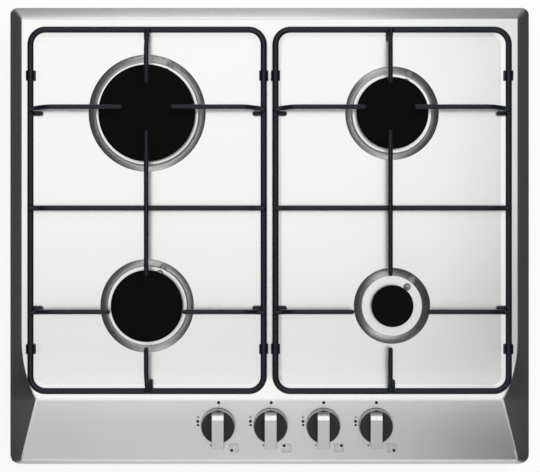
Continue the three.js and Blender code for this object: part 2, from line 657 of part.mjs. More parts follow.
function burnerHead({ size }) {
  const radius = size.cap - CAP_OVERHANG;
  const wallTop = CAP_BASE_Z - GAP;
  const seat = CUP_RIM_Z + GAP;
  const collar = size.cup - CUP_WALL - GAP;
  const tube = size.venturi + VENTURI_WALL;
  const plateTop = seat + HEAD_PLATE;
  const profile = [
    [size.venturi, VENTURI_BASE_Z], [tube, VENTURI_BASE_Z], [tube, seat - COLLAR_DEPTH],
    [collar, seat - COLLAR_DEPTH], [collar, seat], [radius, seat], [radius, wallTop],
    [radius - HEAD_WALL, wallTop], [radius - HEAD_WALL, plateTop], [size.venturi, plateTop],
    [size.venturi, VENTURI_BASE_Z],
  ];
  const slots = Array.from({ length: size.slots }, (_, i) => {
    const slot = block(
      radius - HEAD_WALL - 1, radius + 1, -size.slot / 2, size.slot / 2, wallTop - SLOT_HEIGHT, wallTop + 1,
    );
    return solid(slot.rotateZ(2 * Math.PI * (i + 0.5) / size.slots));
  });
  return cut(solid(turned(profile, size.sides)), slots);
}

function burnerCap({ size }) {
  const ring = size.cap - CAP_OVERHANG - HEAD_WALL - 2 * GAP;
  return turned([
    [0, CAP_BASE_Z - 2], [ring, CAP_BASE_Z - 2], [ring, CAP_BASE_Z], [size.cap, CAP_BASE_Z],
    [size.cap, CAP_TOP_Z - 1.6], [size.cap - 1.6, CAP_TOP_Z], [0, CAP_TOP_Z],
  ], size.sides);
}

// ---------------------------------------------------------------- pan supports

// A finger lies on the frame wire, and a short pin is welded under the frame beside it. `place` turns
// [along, aside, height] into [x, y, z], where along points out over the frame wire.
function finger(place, frameAt, tip, stubShift, pastFrame = FINGER_END) {
  const over = FRAME_Z + (FRAME_WIRE + FINGER_WIRE) / 2 - WELD;
  const under = FRAME_Z - (FRAME_WIRE + FINGER_WIRE) / 2 + WELD;
  const along = [
    [tip, 0, FINGER_Z], [frameAt - RISE_END, 0, FINGER_Z], [frameAt - RISE_START, 0, over],
    [frameAt, 0, over], [frameAt + pastFrame, 0, over - FINGER_DIP],
  ];
  const stub = [[frameAt, stubShift, under], [frameAt - STUB_REACH, stubShift, under]];
  return joined([along, stub].map((corners) => (
    solid(bar(corners.map((corner) => place(...corner)), FINGER_WIRE / 2, RISE_RADIUS))
  )));
}

// `lineX` is the line of the lengthwise fingers, from the middle of the pan support.
function panSupport(lineX) {
  const halfX = (GRATE_WIDTH - FRAME_WIRE) / 2;
  const halfY = (GRATE_DEPTH - FRAME_WIRE) / 2;
  const outline = roundedRectangle(-halfX, -halfY, halfX, halfY, GRATE_CORNER_RADIUS - FRAME_WIRE / 2);
  const wires = [solid(hoop(outline, FRAME_Z, FRAME_WIRE / 2))];
  const [rearY, frontY] = [BURNER_REAR_Y - GRATE_Y, BURNER_FRONT_Y - GRATE_Y];
  const rows = [
    { y: rearY + REAR_ROW_SHIFT, reach: REAR_ROW_REACH, stubShift: REAR_STUB_SHIFT },
    { y: frontY + FRONT_ROW_SHIFT, reach: FRONT_ROW_REACH, stubShift: FRONT_STUB_SHIFT },
  ];
  for (const side of [-1, 1]) {
    for (const { y, reach, stubShift } of rows) {
      const place = (along, aside, z) => [side * along, y + aside, z];
      wires.push(finger(place, halfX, side * lineX + reach, stubShift));
    }
  }
  const lengthwise = (side) => (along, aside, z) => [lineX + aside, side * along, z];
  wires.push(finger(lengthwise(1), halfY, rearY + REAR_TIP_REACH, REAR_TIP_STUB_SHIFT, REAR_FINGER_END));
  wires.push(finger(lengthwise(-1), halfY, FRONT_TIP_REACH - frontY, FRONT_TIP_STUB_SHIFT));
  const barEnds = [frontY + LONG_BAR_FRONT_REACH, rearY - LONG_BAR_REAR_REACH];
  wires.push(solid(bar(barEnds.map((y) => [lineX, y, FINGER_Z]), FINGER_WIRE / 2, 0)));
  const over = FRAME_Z + (FRAME_WIRE + CROSS_WIRE) / 2 - WELD;
  const crossing = [[halfX, over], [halfX - RISE_START, over], [halfX - RISE_END, CROSSBAR_Z]];
  wires.push(solid(bar([
    ...crossing.map(([x, z]) => [-x, CROSSBAR_Y, z]),
    ...crossing.toReversed().map(([x, z]) => [x, CROSSBAR_Y, z]),
  ], CROSS_WIRE / 2, RISE_RADIUS)));
  return joined(wires);
}

function grateFoot() {
  const base = TOP_Z + GAP;
  const [halfX, halfY] = [FOOT_WIDTH / 2, FOOT_LENGTH / 2];
  const channel = FRAME_WIRE / 2 + GAP;
  const body = solid(block(-halfX, halfX, -halfY, halfY, base, FRAME_Z + FOOT_GRIP));
  const wireHole = bar([[0, -FOOT_LENGTH, FRAME_Z], [0, FOOT_LENGTH, FRAME_Z]], channel, 0, SMALL_SIDES);
  const slot = block(-channel, channel, -FOOT_LENGTH, FOOT_LENGTH, FRAME_Z, FRAME_Z + FRAME_WIRE);
  return cut(body, [solid(wireHole), solid(slot)]);
}

// ---------------------------------------------------------------- taps and knobs, along their own axis

function knobXs() {
  return TAP_BURNERS.map((_, i) => KNOB_MIDDLE_X + (i - (TAP_BURNERS.length - 1) / 2) * KNOB_PITCH);
}

function tapBody() {
  const barrel = turned([
    [0, TAP_BASE], [TAP_RADIUS, TAP_BASE], [TAP_RADIUS, TAP_TOP], [TAP_BORE_TOP_RADIUS, TAP_TOP],
    [TAP_BORE_BASE_RADIUS, TAP_BASE + TAP_FLOOR], [0, TAP_BASE + TAP_FLOOR],
  ], TUBE_SIDES);
  const outlet = drum(TAP_OUTLET_RADIUS, (TAP_BORE_TOP_RADIUS + TAP_RADIUS) / 2, TAP_OUTLET_REACH)
    .rotateX(-Math.PI / 2).translate(0, 0, TAP_OUTLET_HEIGHT);
  const saddle = block(
    -SADDLE_HALF, SADDLE_HALF, -SADDLE_HALF, SADDLE_HALF, TAP_BASE - SADDLE_HEIGHT, TAP_BASE + WELD,
  );
  const rail = bar([[-TAP_RADIUS * 2, 0, RAIL_HEIGHT], [TAP_RADIUS * 2, 0, RAIL_HEIGHT]], RAIL_RADIUS + GAP, 0, TUBE_SIDES);
  return joined([barrel, outlet, saddle].map(solid)).subtract(solid(rail));
}

function tapPlug() {
  const base = TAP_BASE + TAP_FLOOR + GAP;
  const top = TAP_TOP + 2;
  const bore = SPINDLE_RADIUS + GAP;
  const boreBase = SPINDLE_TOP - SPINDLE_LENGTH - PUSH_TRAVEL - GAP;
  return turned([
    [0, base], [TAP_BORE_BASE_RADIUS - GAP, base], [TAP_BORE_TOP_RADIUS - GAP, TAP_TOP],
    [TAP_BORE_TOP_RADIUS - GAP, top], [bore, top], [bore, boreBase], [0, boreBase],
  ], TUBE_SIDES);
}

function tapSpindle() {
  return drum(SPINDLE_RADIUS, SPINDLE_TOP - SPINDLE_LENGTH, SPINDLE_TOP);
}

function knob() {
  const bore = SPINDLE_RADIUS + GAP;
  const boreTop = SPINDLE_TOP + GAP;
  const plateBase = KNOB_FACE - 2.2;
  const skirt = turned([
    [0, boreTop], [bore, boreTop], [bore, KNOB_GAP + 1], [bore + 2.7, KNOB_GAP + 1], [bore + 2.7, plateBase],
    [KNOB_FACE_RADIUS - KNOB_WALL * 0.6, plateBase], [KNOB_FOOT_RADIUS - KNOB_WALL, KNOB_GAP],
    [KNOB_FOOT_RADIUS, KNOB_GAP], [KNOB_FACE_RADIUS, KNOB_FACE], [0, KNOB_FACE],
  ], KNOB_SIDES);
  const inside = KNOB_FACE_RADIUS - KNOB_WALL * 2;
  const side = new THREE.Shape([
    [GRIP_REAR, KNOB_FACE - WELD], [GRIP_REAR - 3.9, KNOB_FACE + 4.7], [GRIP_REAR - 8.6, KNOB_TOP],
    [-GRIP_FRONT + 1, KNOB_TOP], [-GRIP_FRONT, KNOB_TOP - 1], [-GRIP_FRONT, KNOB_GAP + 4],
    [-inside, KNOB_GAP + 4], [-inside, KNOB_FACE - WELD],
  ].map(([y, z]) => new THREE.Vector2(y, z)));
  const grip = new THREE.ExtrudeGeometry(side, { depth: GRIP_WIDTH, steps: 1, bevelEnabled: false });
  grip.translate(0, 0, -GRIP_WIDTH / 2).rotateY(Math.PI / 2).rotateX(Math.PI / 2);
  return solid(skirt).add(solid(grip));
}

// ---------------------------------------------------------------- gas rail and feed pipes

// A point given along a tap's axis, in the cooktop's own axes.
function fromTap(x, aside, height) {
  const [sin, cos] = [Math.sin(STRIP_TILT), Math.cos(STRIP_TILT)];
  return [x, KNOB_Y + aside * cos - height * sin, KNOB_Z + aside * sin + height * cos];
}

function gasRail() {
  const [, railY, railZ] = fromTap(0, 0, RAIL_HEIGHT);
  const fittingY = INLET_END_Y - INLET_LENGTH;
  const tube = bar([
    [RAIL_LEFT_X, railY, railZ], [RAIL_RIGHT_X, railY, railZ], [RAIL_RIGHT_X, fittingY - 60, INLET_Z],
    [RAIL_RIGHT_X, fittingY + 1, INLET_Z],
  ], RAIL_RADIUS, RAIL_BEND, TUBE_SIDES, CORNER_STEPS);
  const alongY = (radius, y0, y1, sides) => (
    drum(radius, y0, y1, sides).rotateX(-Math.PI / 2).translate(RAIL_RIGHT_X, 0, INLET_Z)
  );
  const thread = alongY(INLET_RADIUS, fittingY, INLET_END_Y, TUBE_SIDES * 2);
  const hex = alongY(INLET_HEX_RADIUS, fittingY - 2, fittingY + 10, 6);
  const bore = alongY(INLET_BORE, INLET_END_Y - INLET_LENGTH / 2, INLET_END_Y + 1, TUBE_SIDES);
  return joined([tube, thread, hex].map(solid)).subtract(solid(bore));
}

function feedPipe(tapX, { size, x, y, inletAngle }) {
  const angle = radians(inletAngle);
  const [dx, dy] = [Math.cos(angle), Math.sin(angle)];
  const bossEnd = size.cup + INLET_BOSS_LENGTH + GAP;
  const end = [x + dx * bossEnd, y + dy * bossEnd, INLET_BOSS_Z];
  const start = fromTap(tapX, TAP_OUTLET_REACH + GAP, TAP_OUTLET_HEIGHT);
  const level = fromTap(tapX, TAP_OUTLET_REACH + GAP + PIPE_BEND / 2, TAP_OUTLET_HEIGHT);
  const turn = Math.abs(dx) > 0.5 ? [tapX, y, INLET_BOSS_Z] : [x, (level[1] + end[1]) / 2, INLET_BOSS_Z];
  return bar([start, level, turn, end], PIPE_RADIUS, PIPE_BEND, WIRE_SIDES, CORNER_STEPS);
}

// ---------------------------------------------------------------- assembly

const MATERIALS = {
  steel: { color: 0xd4d5d3, roughness: 0.32, metalness: 1 },
  casing: { color: 0x9da1a2, roughness: 0.5, metalness: 0.9 },
  rubber: { color: 0x17181a, roughness: 0.8, metalness: 0 },
  foam: { color: 0x4a4a48, roughness: 0.95, metalness: 0 },
  wire: { color: 0x1e2432, roughness: 0.35, metalness: 0.1 },
  cap: { color: 0x101012, roughness: 0.5, metalness: 0 },
  aluminium: { color: 0xb6b8b8, roughness: 0.45, metalness: 1 },
  brass: { color: 0xb89a55, roughness: 0.35, metalness: 1 },
  ceramic: { color: 0xe9e6de, roughness: 0.4, metalness: 0 },
  knob: { color: 0xb9bbbb, roughness: 0.35, metalness: 0.8 },
  plastic: { color: 0x232427, roughness: 0.6, metalness: 0 },
  zinc: { color: 0xaeb2b3, roughness: 0.4, metalness: 0.9 },
};
const finish = Object.fromEntries(Object.entries(MATERIALS).map(([name, look]) => (
  [name, new THREE.MeshStandardMaterial(look)]
)));

const cooktop = new THREE.Group();

function place(name, shape, material, x = 0, y = 0, parent = cooktop) {
  const geometry = facingOut(shape.isBufferGeometry ? shape : geometryOf(shape));
  geometry.computeVertexNormals();
  const mesh = new THREE.Mesh(geometry, finish[material]);
  mesh.name = name;
  mesh.position.set(x, y, 0);
  parent.add(mesh);
}

place('top_panel', topPanel(), 'steel');
place('worktop_seal', worktopSeal(), 'foam');
place('bottom_casing', bottomCasing(), 'casing');
place('cable_gland', cableGland(), 'plastic');
place('ignition_module', ignitionModule(), 'plastic');
place('gas_rail', gasRail(), 'zinc');
for (const [side, sideName] of [[-1, 'left'], [1, 'right']]) {
  place(`worktop_clamp_front_${sideName}`, worktopClamp(side, CASING_FRONT_Y + CLAMP_FRONT_INSET), 'zinc');
  place(`worktop_clamp_rear_${sideName}`, worktopClamp(side, CASING_REAR_Y - CLAMP_REAR_INSET), 'zinc');
}

for (const burner of BURNERS) {
  const { name, x, y } = burner;
  const [sparkX, sparkY] = sparkSpot(burner);
  place(`burner_cup_${name}`, burnerCup(burner), 'aluminium', x, y);
  place(`injector_${name}`, injector(), 'brass', x, y);
  place(`spark_electrode_${name}`, sparkElectrode(), 'ceramic', sparkX, sparkY);
  place(`burner_head_${name}`, burnerHead(burner), 'aluminium', x, y);
  place(`burner_cap_${name}`, burnerCap(burner), 'cap', x, y);
}

for (const [side, sideName] of [[-1, 'left'], [1, 'right']]) {
  const centreX = side * GRATE_X;
  const support = panSupport(FINGER_LINE_X - side * FINGER_LINE_INSET);
  place(`pan_support_${sideName}`, support, 'wire', centreX, GRATE_Y);
  for (const [end, endName] of [[-1, 'left'], [1, 'right']]) {
    const footX = centreX + end * (GRATE_WIDTH - FRAME_WIRE) / 2;
    const [rearFootY, frontFootY] = [GRATE_DEPTH / 2 - FOOT_REAR_INSET, FOOT_FRONT_INSET - GRATE_DEPTH / 2];
    place(`foot_${sideName}_rear_${endName}`, grateFoot(), 'rubber', footX, GRATE_Y + rearFootY);
    place(`foot_${sideName}_front_${endName}`, grateFoot(), 'rubber', footX, GRATE_Y + frontFootY);
  }
}

for (const [i, tapX] of knobXs().entries()) {
  const axis = new THREE.Group();
  axis.position.set(tapX, KNOB_Y, KNOB_Z);
  axis.rotation.x = STRIP_TILT;
  cooktop.add(axis);
  place(`tap_body_${i + 1}`, tapBody(), 'brass', 0, 0, axis);
  place(`tap_plug_${i + 1}`, tapPlug(), 'brass', 0, 0, axis);
  place(`tap_spindle_${i + 1}`, tapSpindle(), 'zinc', 0, 0, axis);
  place(`knob_${i + 1}`, knob(), 'knob', 0, 0, axis);
  const burner = BURNERS.find(({ name }) => name === TAP_BURNERS[i]);
  place(`feed_pipe_${i + 1}`, feedPipe(tapX, burner), 'aluminium');
}

export default cooktop;
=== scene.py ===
"""Looks of a built-in gas cooktop with four burners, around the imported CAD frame.

Lengths are in millimetres until a mesh is made. +X right, +Y to the rear, +Z up, origin in the middle of
the outline on the underside of the casing.
"""

import math

import bmesh
import bpy
from mathutils import Matrix, Vector
from mathutils.geometry import delaunay_2d_cdt


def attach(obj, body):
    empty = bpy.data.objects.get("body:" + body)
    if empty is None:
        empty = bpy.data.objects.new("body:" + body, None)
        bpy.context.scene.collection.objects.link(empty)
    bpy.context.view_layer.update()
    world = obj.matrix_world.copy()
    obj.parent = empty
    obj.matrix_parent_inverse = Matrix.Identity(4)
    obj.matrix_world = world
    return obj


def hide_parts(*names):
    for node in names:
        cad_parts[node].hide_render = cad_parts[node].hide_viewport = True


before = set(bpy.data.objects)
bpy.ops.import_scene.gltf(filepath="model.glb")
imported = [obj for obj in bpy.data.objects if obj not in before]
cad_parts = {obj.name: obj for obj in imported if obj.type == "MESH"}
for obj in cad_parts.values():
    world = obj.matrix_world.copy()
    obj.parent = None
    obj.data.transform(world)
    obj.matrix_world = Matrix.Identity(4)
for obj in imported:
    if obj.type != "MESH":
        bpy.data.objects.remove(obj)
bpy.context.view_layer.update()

MM = 0.001
WELD = 0.004

# -------------------- sizes shared with the CAD model

WIDTH, DEPTH = 580.0, 510.0
GAP = 0.3
SHEET = 1.0
RIM_Z = 42.5
LIP_TOP_Z = 44.0
TOP_Z = 55.0
RETURN_WIDTH = 8.0
SIDE_RUN, REAR_RUN, FRONT_RUN = 13.0, 13.5, 4.0
REAR_CORNER_RADIUS, FRONT_CORNER_RADIUS = 8.0, 11.0
CREST_CORNER_RADIUS = 2.5
CREASE_Y = -182.5
STRIP_SLOPE = 6.4 / 68.5
STRIP_TILT = math.atan(STRIP_SLOPE)
BEND_RADIUS, BEND_LENGTH = 142.0, 67.5

GRATE_X, GRATE_Y = 135.8, 28.3
GRATE_WIDTH, GRATE_DEPTH = 265.5, 407.6
GRATE_CORNER_RADIUS = 20.0
FRAME_WIRE, FINGER_WIRE, CROSS_WIRE = 7.0, 5.2, 5.8
FRAME_Z = TOP_Z + 8.0 + FRAME_WIRE / 2
FINGER_Z = TOP_Z + 29.0 - FINGER_WIRE / 2
CROSSBAR_Z = FINGER_Z - FINGER_WIRE / 2 - CROSS_WIRE / 2 + 0.5
FINGER_LINE_X, FINGER_LINE_INSET = -1.4, 1.2
FINGER_ROWS = ((114.1, 27.2, -6.2, -2.4), (-112.1, 41.0, 3.5, -1.0))
REAR_FINGER = (140.7, -1.1, 1.2)
FRONT_FINGER = (-152.1, 3.7, 0.8)
LONG_BAR = (-71.6, 87.9)
CROSSBAR_Y = 2.5
RISE_START, RISE_END, STUB_REACH = 8.0, 20.0, 11.5
FINGER_END, FINGER_DIP = 1.8, 1.2

TRAY_Z = 53.5
TRAY_INSET, TRAY_RUN, TRAY_CORNER_RADIUS = 3.5, 7.0, 16.5
FLOOR_Z = 47.0
CAP_TOP_Z, CAP_BASE_Z = 64.0, 60.3
CUP_RIM_Z = 49.5
CAP_OVERHANG, HEAD_WALL = 6.0, 4.5
CERAMIC_RADIUS = 2.6
BURNER_SIZES = ("x", "y", "cap", "recess", "floor", "cup", "venturi", "slots", "spark", "angle", "inlet")
BURNERS = {name: dict(zip(BURNER_SIZES, sizes)) for name, *sizes in (
    ("rear_left", -136.5, 136.7, 53.8, 65.2, 57.2, 34.0, 9.0, 60, 51.0, 66.0, 0.0),
    ("rear_right", 136.5, 136.7, 39.9, 52.1, 44.2, 26.0, 7.5, 44, 38.5, 66.0, 180.0),
    ("front_left", -136.5, -78.0, 39.9, 52.1, 44.2, 26.0, 7.5, 44, 38.5, 69.0, 0.0),
    ("front_right", 136.5, -78.0, 23.3, 42.6, 33.6, 16.0, 5.5, 24, 27.0, 51.0, 270.0),
)}

KNOB_XS = (-57.4, 1.2, 59.8, 118.4)
KNOB_Y = -210.9
KNOB_Z = TOP_Z - (CREASE_Y - KNOB_Y) * STRIP_SLOPE
SPINDLE_HOLE_RADIUS = 5.0
KNOB_FOOT_RADIUS, KNOB_FACE_RADIUS = 19.2, 18.6
KNOB_GAP, KNOB_FACE, KNOB_TOP = 3.5, 12.5, 21.5
GRIP_WIDTH, GRIP_REAR, GRIP_FRONT = 13.4, 17.1, 23.6

# -------------------- mesh helpers


def placed(where, angle, axis):
    """A turn about an axis through the origin, and then a shift."""
    return Matrix.Translation(where) @ Matrix.Rotation(angle, 4, axis)


class Shape:
    """Points and faces in millimetres, gathered shell by shell."""

    def __init__(self):
        self.points = []
        self.faces = []

    def add(self, points, faces):
        start = len(self.points)
        self.points.extend(points)
        self.faces.extend([start + i for i in face] for face in faces)

    def rings(self, rings, closed=False, ends=True):
        """Skin over rings of equal length. `closed` joins the last ring to the first."""
        count = len(rings[0])
        points = [point for ring in rings for point in ring]
        faces = []
        for level in range(len(rings) if closed else len(rings) - 1):
            low = level * count
            high = (level + 1) % len(rings) * count
            for i in range(count):
                j = (i + 1) % count
                faces.append([low + i, low + j, high + j, high + i])
        if ends and not closed:
            faces.append(list(range(count))[::-1])
            faces.append([len(points) - count + i for i in range(count)])
        self.add(points, faces)

    def turned(self, profile, x, y, sides, axis=None):
        """Body of revolution of a closed profile of (radius, height)."""
        rings = []
        for i in range(sides):
            angle = 2 * math.pi * i / sides
            ring = [(r * math.cos(angle), r * math.sin(angle), z) for r, z in profile]
            if axis:
                ring = [tuple(axis @ Vector(point)) for point in ring]
            rings.append([(px + x, py + y, pz) for px, py, pz in ring])
        self.rings(rings, closed=True)

    def tube(self, path, radius, sides=16, closed=False):
        """Round wire along a path, with rounded ends."""
        spots = [Vector(point) for point in path]
        behind = [spots[-1 if closed else 0]] + spots[:-1]
        ahead = spots[1:] + [spots[0 if closed else -1]]
        tangents = [(after - before).normalized() for before, after in zip(behind, ahead)]
        side = tangents[0].orthogonal().normalized()
        if abs(tangents[0].z) < 0.9:
            side = tangents[0].cross(Vector((0, 0, 1))).normalized()
        stations = [(spot, along, radius) for spot, along in zip(spots, tangents)]
        if not closed:
            angles = [math.pi / 2 * k / 5 for k in range(5)]
            dome = [(radius * math.cos(angle), max(radius * math.sin(angle), 0.02)) for angle in angles]
            first, last = tangents[0], tangents[-1]
            stations = [(spots[0] - first * back, first, small) for back, small in dome] + stations
            stations += [(spots[-1] + last * back, last, small) for back, small in reversed(dome)]
        rings = []
        for spot, along, size in stations:
            side = (side - along * side.dot(along)).normalized()
            up = along.cross(side)
            ring = []
            for k in range(sides):
                angle = 2 * math.pi * k / sides
                ring.append(tuple(spot + (side * math.cos(angle) + up * math.sin(angle)) * size))
            rings.append(ring)
        self.rings(rings, closed=closed)

    def move(self, place):
        self.points = [tuple(place @ Vector(point)) for point in self.points]

    def block(self, low, high):
        (x0, y0, z0), (x1, y1, z1) = low, high
        base = [(x0, y0), (x1, y0), (x1, y1), (x0, y1)]
        self.rings([[(x, y, z) for x, y in base] for z in (z0, z1)])

    def bead(self, centre, radii, sides=12, rows=6):
        """Rounded blob, such as a weld."""
        x, y, z = centre
        wide, deep, high = radii
        rings = []
        for tilt in [math.pi * i / rows for i in range(rows + 1)]:
            small = max(math.sin(tilt), 0.02)
            rings.append([(x + wide * small * cos, y + deep * small * sin, z - high * math.cos(tilt))
                          for cos, sin in circle(0, 0, 1, sides)])
        self.rings(rings)

    def prism(self, outline, transform, low, high):
        """Flat plate over an outline in its own plane."""
        self.rings([[tuple(transform @ Vector((x, y, z))) for x, y in outline] for z in (low, high)])

    def washer(self, outside, inside, transform, low, high):
        """Flat ring between two outlines of equal length."""
        loops = [(outside, low), (outside, high), (inside, high), (inside, low)]
        rings = [[tuple(transform @ Vector((x, y, z))) for x, y in loop] for loop, z in loops]
        self.rings(rings, closed=True)


def add_object(name, data):
    thing = bpy.data.objects.new(name, data)
    bpy.context.scene.collection.objects.link(thing)
    return thing


def clean_mesh(name, shape, weld, drop_slivers=True):
    """Mesh of a shape, with points closer than `weld` joined and its faces turned outwards."""
    mesh = bpy.data.meshes.new(name)
    mesh.from_pydata([Vector(point) * MM for point in shape.points], [], shape.faces)
    work = bmesh.new()
    work.from_mesh(mesh)
    bmesh.ops.remove_doubles(work, verts=work.verts, dist=weld * MM)
    if drop_slivers:
        bmesh.ops.dissolve_degenerate(work, edges=work.edges, dist=weld * MM / 2)
    bmesh.ops.recalc_face_normals(work, faces=work.faces)
    work.to_mesh(mesh)
    work.free()
    mesh.shade_smooth()
    return mesh


def piece(name, shape, look, body, replaces=(), bevel=0.0, sharp=40.0):
    """Turns a shape into a piece of the scene that rides on a body."""
    mesh = clean_mesh(name, shape, WELD)
    mesh.set_sharp_from_angle(angle=math.radians(sharp))
    mesh.materials.append(look)
    thing = add_object(name, mesh)
    if bevel:
        add_bevel(thing, bevel)
    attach(thing, body)
    if replaces:
        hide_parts(*replaces)


def add_bevel(thing, width):
    bevel = thing.modifiers.new("edges", "BEVEL")
    bevel.width = width * MM
    bevel.segments = 3
    bevel.limit_method = "ANGLE"
    bevel.angle_limit = math.radians(40)
    bevel.harden_normals = True


def bend_point(start, corner, end, t):
    """Point of the curve that takes the place of a corner."""
    return start * (1 - t) ** 2 + corner * 2 * t * (1 - t) + end * t * t


def corner_curve(before, corner, after, radius, steps):
    """Points of a rounded corner, from one of its sides to the other."""
    back, ahead = before - corner, after - corner
    room = min(radius, back.length * 0.48, ahead.length * 0.48)
    start, end = corner + back.normalized() * room, corner + ahead.normalized() * room
    return [bend_point(start, corner, end, k / steps) for k in range(steps + 1)]


def rounded(points, radius, steps=4):
    """Closed 2-D outline with rounded corners. `radius` is one number or one for each corner."""
    count = len(points)
    radii = radius if isinstance(radius, (list, tuple)) else [radius] * count
    spots = [Vector(point) for point in points]
    out = []
    for i, spot in enumerate(spots):
        if radii[i]:
            curve = corner_curve(spots[i - 1], spot, spots[(i + 1) % count], radii[i], steps)
            out += [(point.x, point.y) for point in curve]
        else:
            out.append(points[i])
    return out


def bent(corners, bend, steps=6):
    """3-D path with its corners rounded."""
    spots = [Vector(corner) for corner in corners]
    out = [spots[0]]
    for before, spot, after in zip(spots, spots[1:], spots[2:]):
        out += corner_curve(before, spot, after, bend, steps)
    return out + [spots[-1]]


def arc(x, y, radius, start, end, steps):
    angles = [math.radians(start + (end - start) * i / steps) for i in range(steps + 1)]
    return [(x + radius * math.cos(angle), y + radius * math.sin(angle)) for angle in angles]


def circle(x, y, radius, steps):
    return arc(x, y, radius, 0, 360, steps)[:-1]


def rounded_box(x, y, half_x, half_y, radius, steps):
    radius = max(radius, 0.3)
    out = []
    for k, (side_x, side_y) in enumerate(((1, -1), (1, 1), (-1, 1), (-1, -1))):
        middle_x = x + side_x * half_x - side_x * radius
        middle_y = y + side_y * half_y - side_y * radius
        out += arc(middle_x, middle_y, radius, 90 * k - 90, 90 * k, steps)
    return out


# -------------------- materials


def set_inputs(node, inputs):
    for socket, value in inputs.items():
        node.inputs[socket].default_value = value


def add_node(tree, kind, inputs=None, **settings):
    """New shader node with its settings and the fixed values of its inputs."""
    node = tree.nodes.new("ShaderNode" + kind)
    for setting, value in settings.items():
        setattr(node, setting, value)
    set_inputs(node, inputs or {})
    return node


def finish(name, color, metallic, rough, scale, specular=None, stretch=(1, 1, 1), tint=0.06, bump=0.1,
           depth=0.02, wear=0.0):
    """Principled material with uneven colour and roughness, a fine relief and a lighter tone along edges."""
    look = bpy.data.materials.new(name)
    look.use_nodes = True
    tree = look.node_tree
    link = tree.links.new
    bsdf = tree.nodes["Principled BSDF"]
    set_inputs(bsdf, {"Base Color": (*color, 1), "Roughness": sum(rough) / 2, "Metallic": metallic})
    if specular is not None:
        set_inputs(bsdf, {"Specular IOR Level": specular})
    where = add_node(tree, "TexCoord")
    mapping = add_node(tree, "Mapping", {"Scale": stretch})
    link(where.outputs["Object"], mapping.inputs["Vector"])
    fine = add_node(tree, "TexNoise", {"Scale": scale, "Detail": 4.0})
    link(mapping.outputs["Vector"], fine.inputs["Vector"])
    broad = add_node(tree, "TexNoise", {"Scale": 9.0, "Detail": 2.0})
    link(where.outputs["Object"], broad.inputs["Vector"])
    both = add_node(tree, "Mix", {"Factor": 0.5}, data_type="FLOAT")
    link(fine.outputs["Fac"], both.inputs["A"])
    link(broad.outputs["Fac"], both.inputs["B"])

    def uneven(low, high):
        """The noise, spread from `low` to `high`."""
        level = add_node(tree, "MapRange", {"From Min": 0.3, "From Max": 0.7, "To Min": low, "To Max": high})
        link(both.outputs["Result"], level.inputs["Value"])
        return level.outputs["Result"]

    paint = add_node(tree, "VectorMath", {0: color}, operation="SCALE")
    link(uneven(1.0 - tint, 1.0 + tint), paint.inputs["Scale"])
    tone = paint.outputs["Vector"]
    if wear:
        shape = add_node(tree, "NewGeometry")
        edge = add_node(tree, "MapRange", {"From Min": 0.53, "From Max": 0.62, "To Max": wear})
        link(shape.outputs["Pointiness"], edge.inputs["Value"])
        lighter = (*[min(1.0, c * 1.8 + 0.02) for c in color], 1)
        worn = add_node(tree, "Mix", {"B": lighter}, data_type="RGBA")
        link(edge.outputs["Result"], worn.inputs["Factor"])
        link(tone, worn.inputs["A"])
        tone = worn.outputs["Result"]
    link(tone, bsdf.inputs["Base Color"])
    link(uneven(*rough), bsdf.inputs["Roughness"])
    relief = add_node(tree, "Bump", {"Strength": bump, "Distance": depth * MM})
    link(fine.outputs["Fac"], relief.inputs["Height"])
    link(relief.outputs["Normal"], bsdf.inputs["Normal"])
    return look


STEEL = finish("steel_satin", (0.87, 0.87, 0.866), 0.97, (0.19, 0.23), 900.0, stretch=(0.05, 1.6, 1.6),
               tint=0.012, bump=0.06, depth=0.01)
GALVANISED = finish("sheet_zinc", (0.46, 0.47, 0.475), 0.9, (0.38, 0.5), 140.0, tint=0.10, bump=0.06)
FOAM = finish("foam_grey", (0.07, 0.07, 0.068), 0.0, (0.9, 1.0), 1500.0, tint=0.3, bump=0.8, depth=0.3)
RUBBER = finish("rubber_black", (0.012, 0.012, 0.014), 0.0, (0.6, 0.75), 1200.0, specular=0.3, tint=0.15,
                bump=0.25, depth=0.05)
ENAMEL = finish("wire_enamel", (0.006, 0.008, 0.016), 0.0, (0.24, 0.32), 420.0, specular=0.30, tint=0.12,
                bump=0.06, depth=0.04)
CAP_ENAMEL = finish("cap_enamel", (0.003, 0.003, 0.0034), 0.0, (0.45, 0.58), 700.0, specular=0.035,
                    tint=0.2, bump=0.15, depth=0.04)
CAST = finish("cast_aluminium", (0.50, 0.505, 0.51), 0.9, (0.4, 0.55), 520.0, tint=0.08, bump=0.3,
              depth=0.08, wear=0.2)
HEAD_ALLOY = finish("head_alloy", (0.86, 0.86, 0.86), 0.97, (0.14, 0.18), 520.0, tint=0.02, bump=0.02)
BRASS = finish("brass", (0.52, 0.37, 0.13), 1.0, (0.28, 0.42), 600.0, tint=0.08, wear=0.15)
CERAMIC = finish("ceramic_grey", (0.36, 0.355, 0.34), 0.0, (0.25, 0.35), 500.0, tint=0.03, bump=0.05)
PIN = finish("pin_steel", (0.35, 0.34, 0.33), 1.0, (0.3, 0.45), 800.0, tint=0.1)
SILVER = finish("knob_silver", (0.73, 0.73, 0.725), 0.92, (0.22, 0.28), 1300.0, stretch=(0.4, 1, 1),
                tint=0.015, bump=0.08, depth=0.01)
# The knob skirt is silver like the grip. This darker grey copy of that silver is painted shade: it stands for
# the skirt's shaded side and, mirrored in the steel, for the soft shadow round the knob.
SHADED_SKIRT = finish("knob_skirt_grey", (0.40, 0.40, 0.405), 0.85, (0.34, 0.44), 900.0, tint=0.05, bump=0.06)
DISC = finish("knob_disc", (0.021, 0.021, 0.022), 0.0, (0.45, 0.6), 1600.0, specular=0.25, tint=0.12,
              bump=0.2, depth=0.03)
INLAY = finish("white_inlay", (0.90, 0.90, 0.89), 0.0, (0.2, 0.3), 700.0, tint=0.01, bump=0.03)
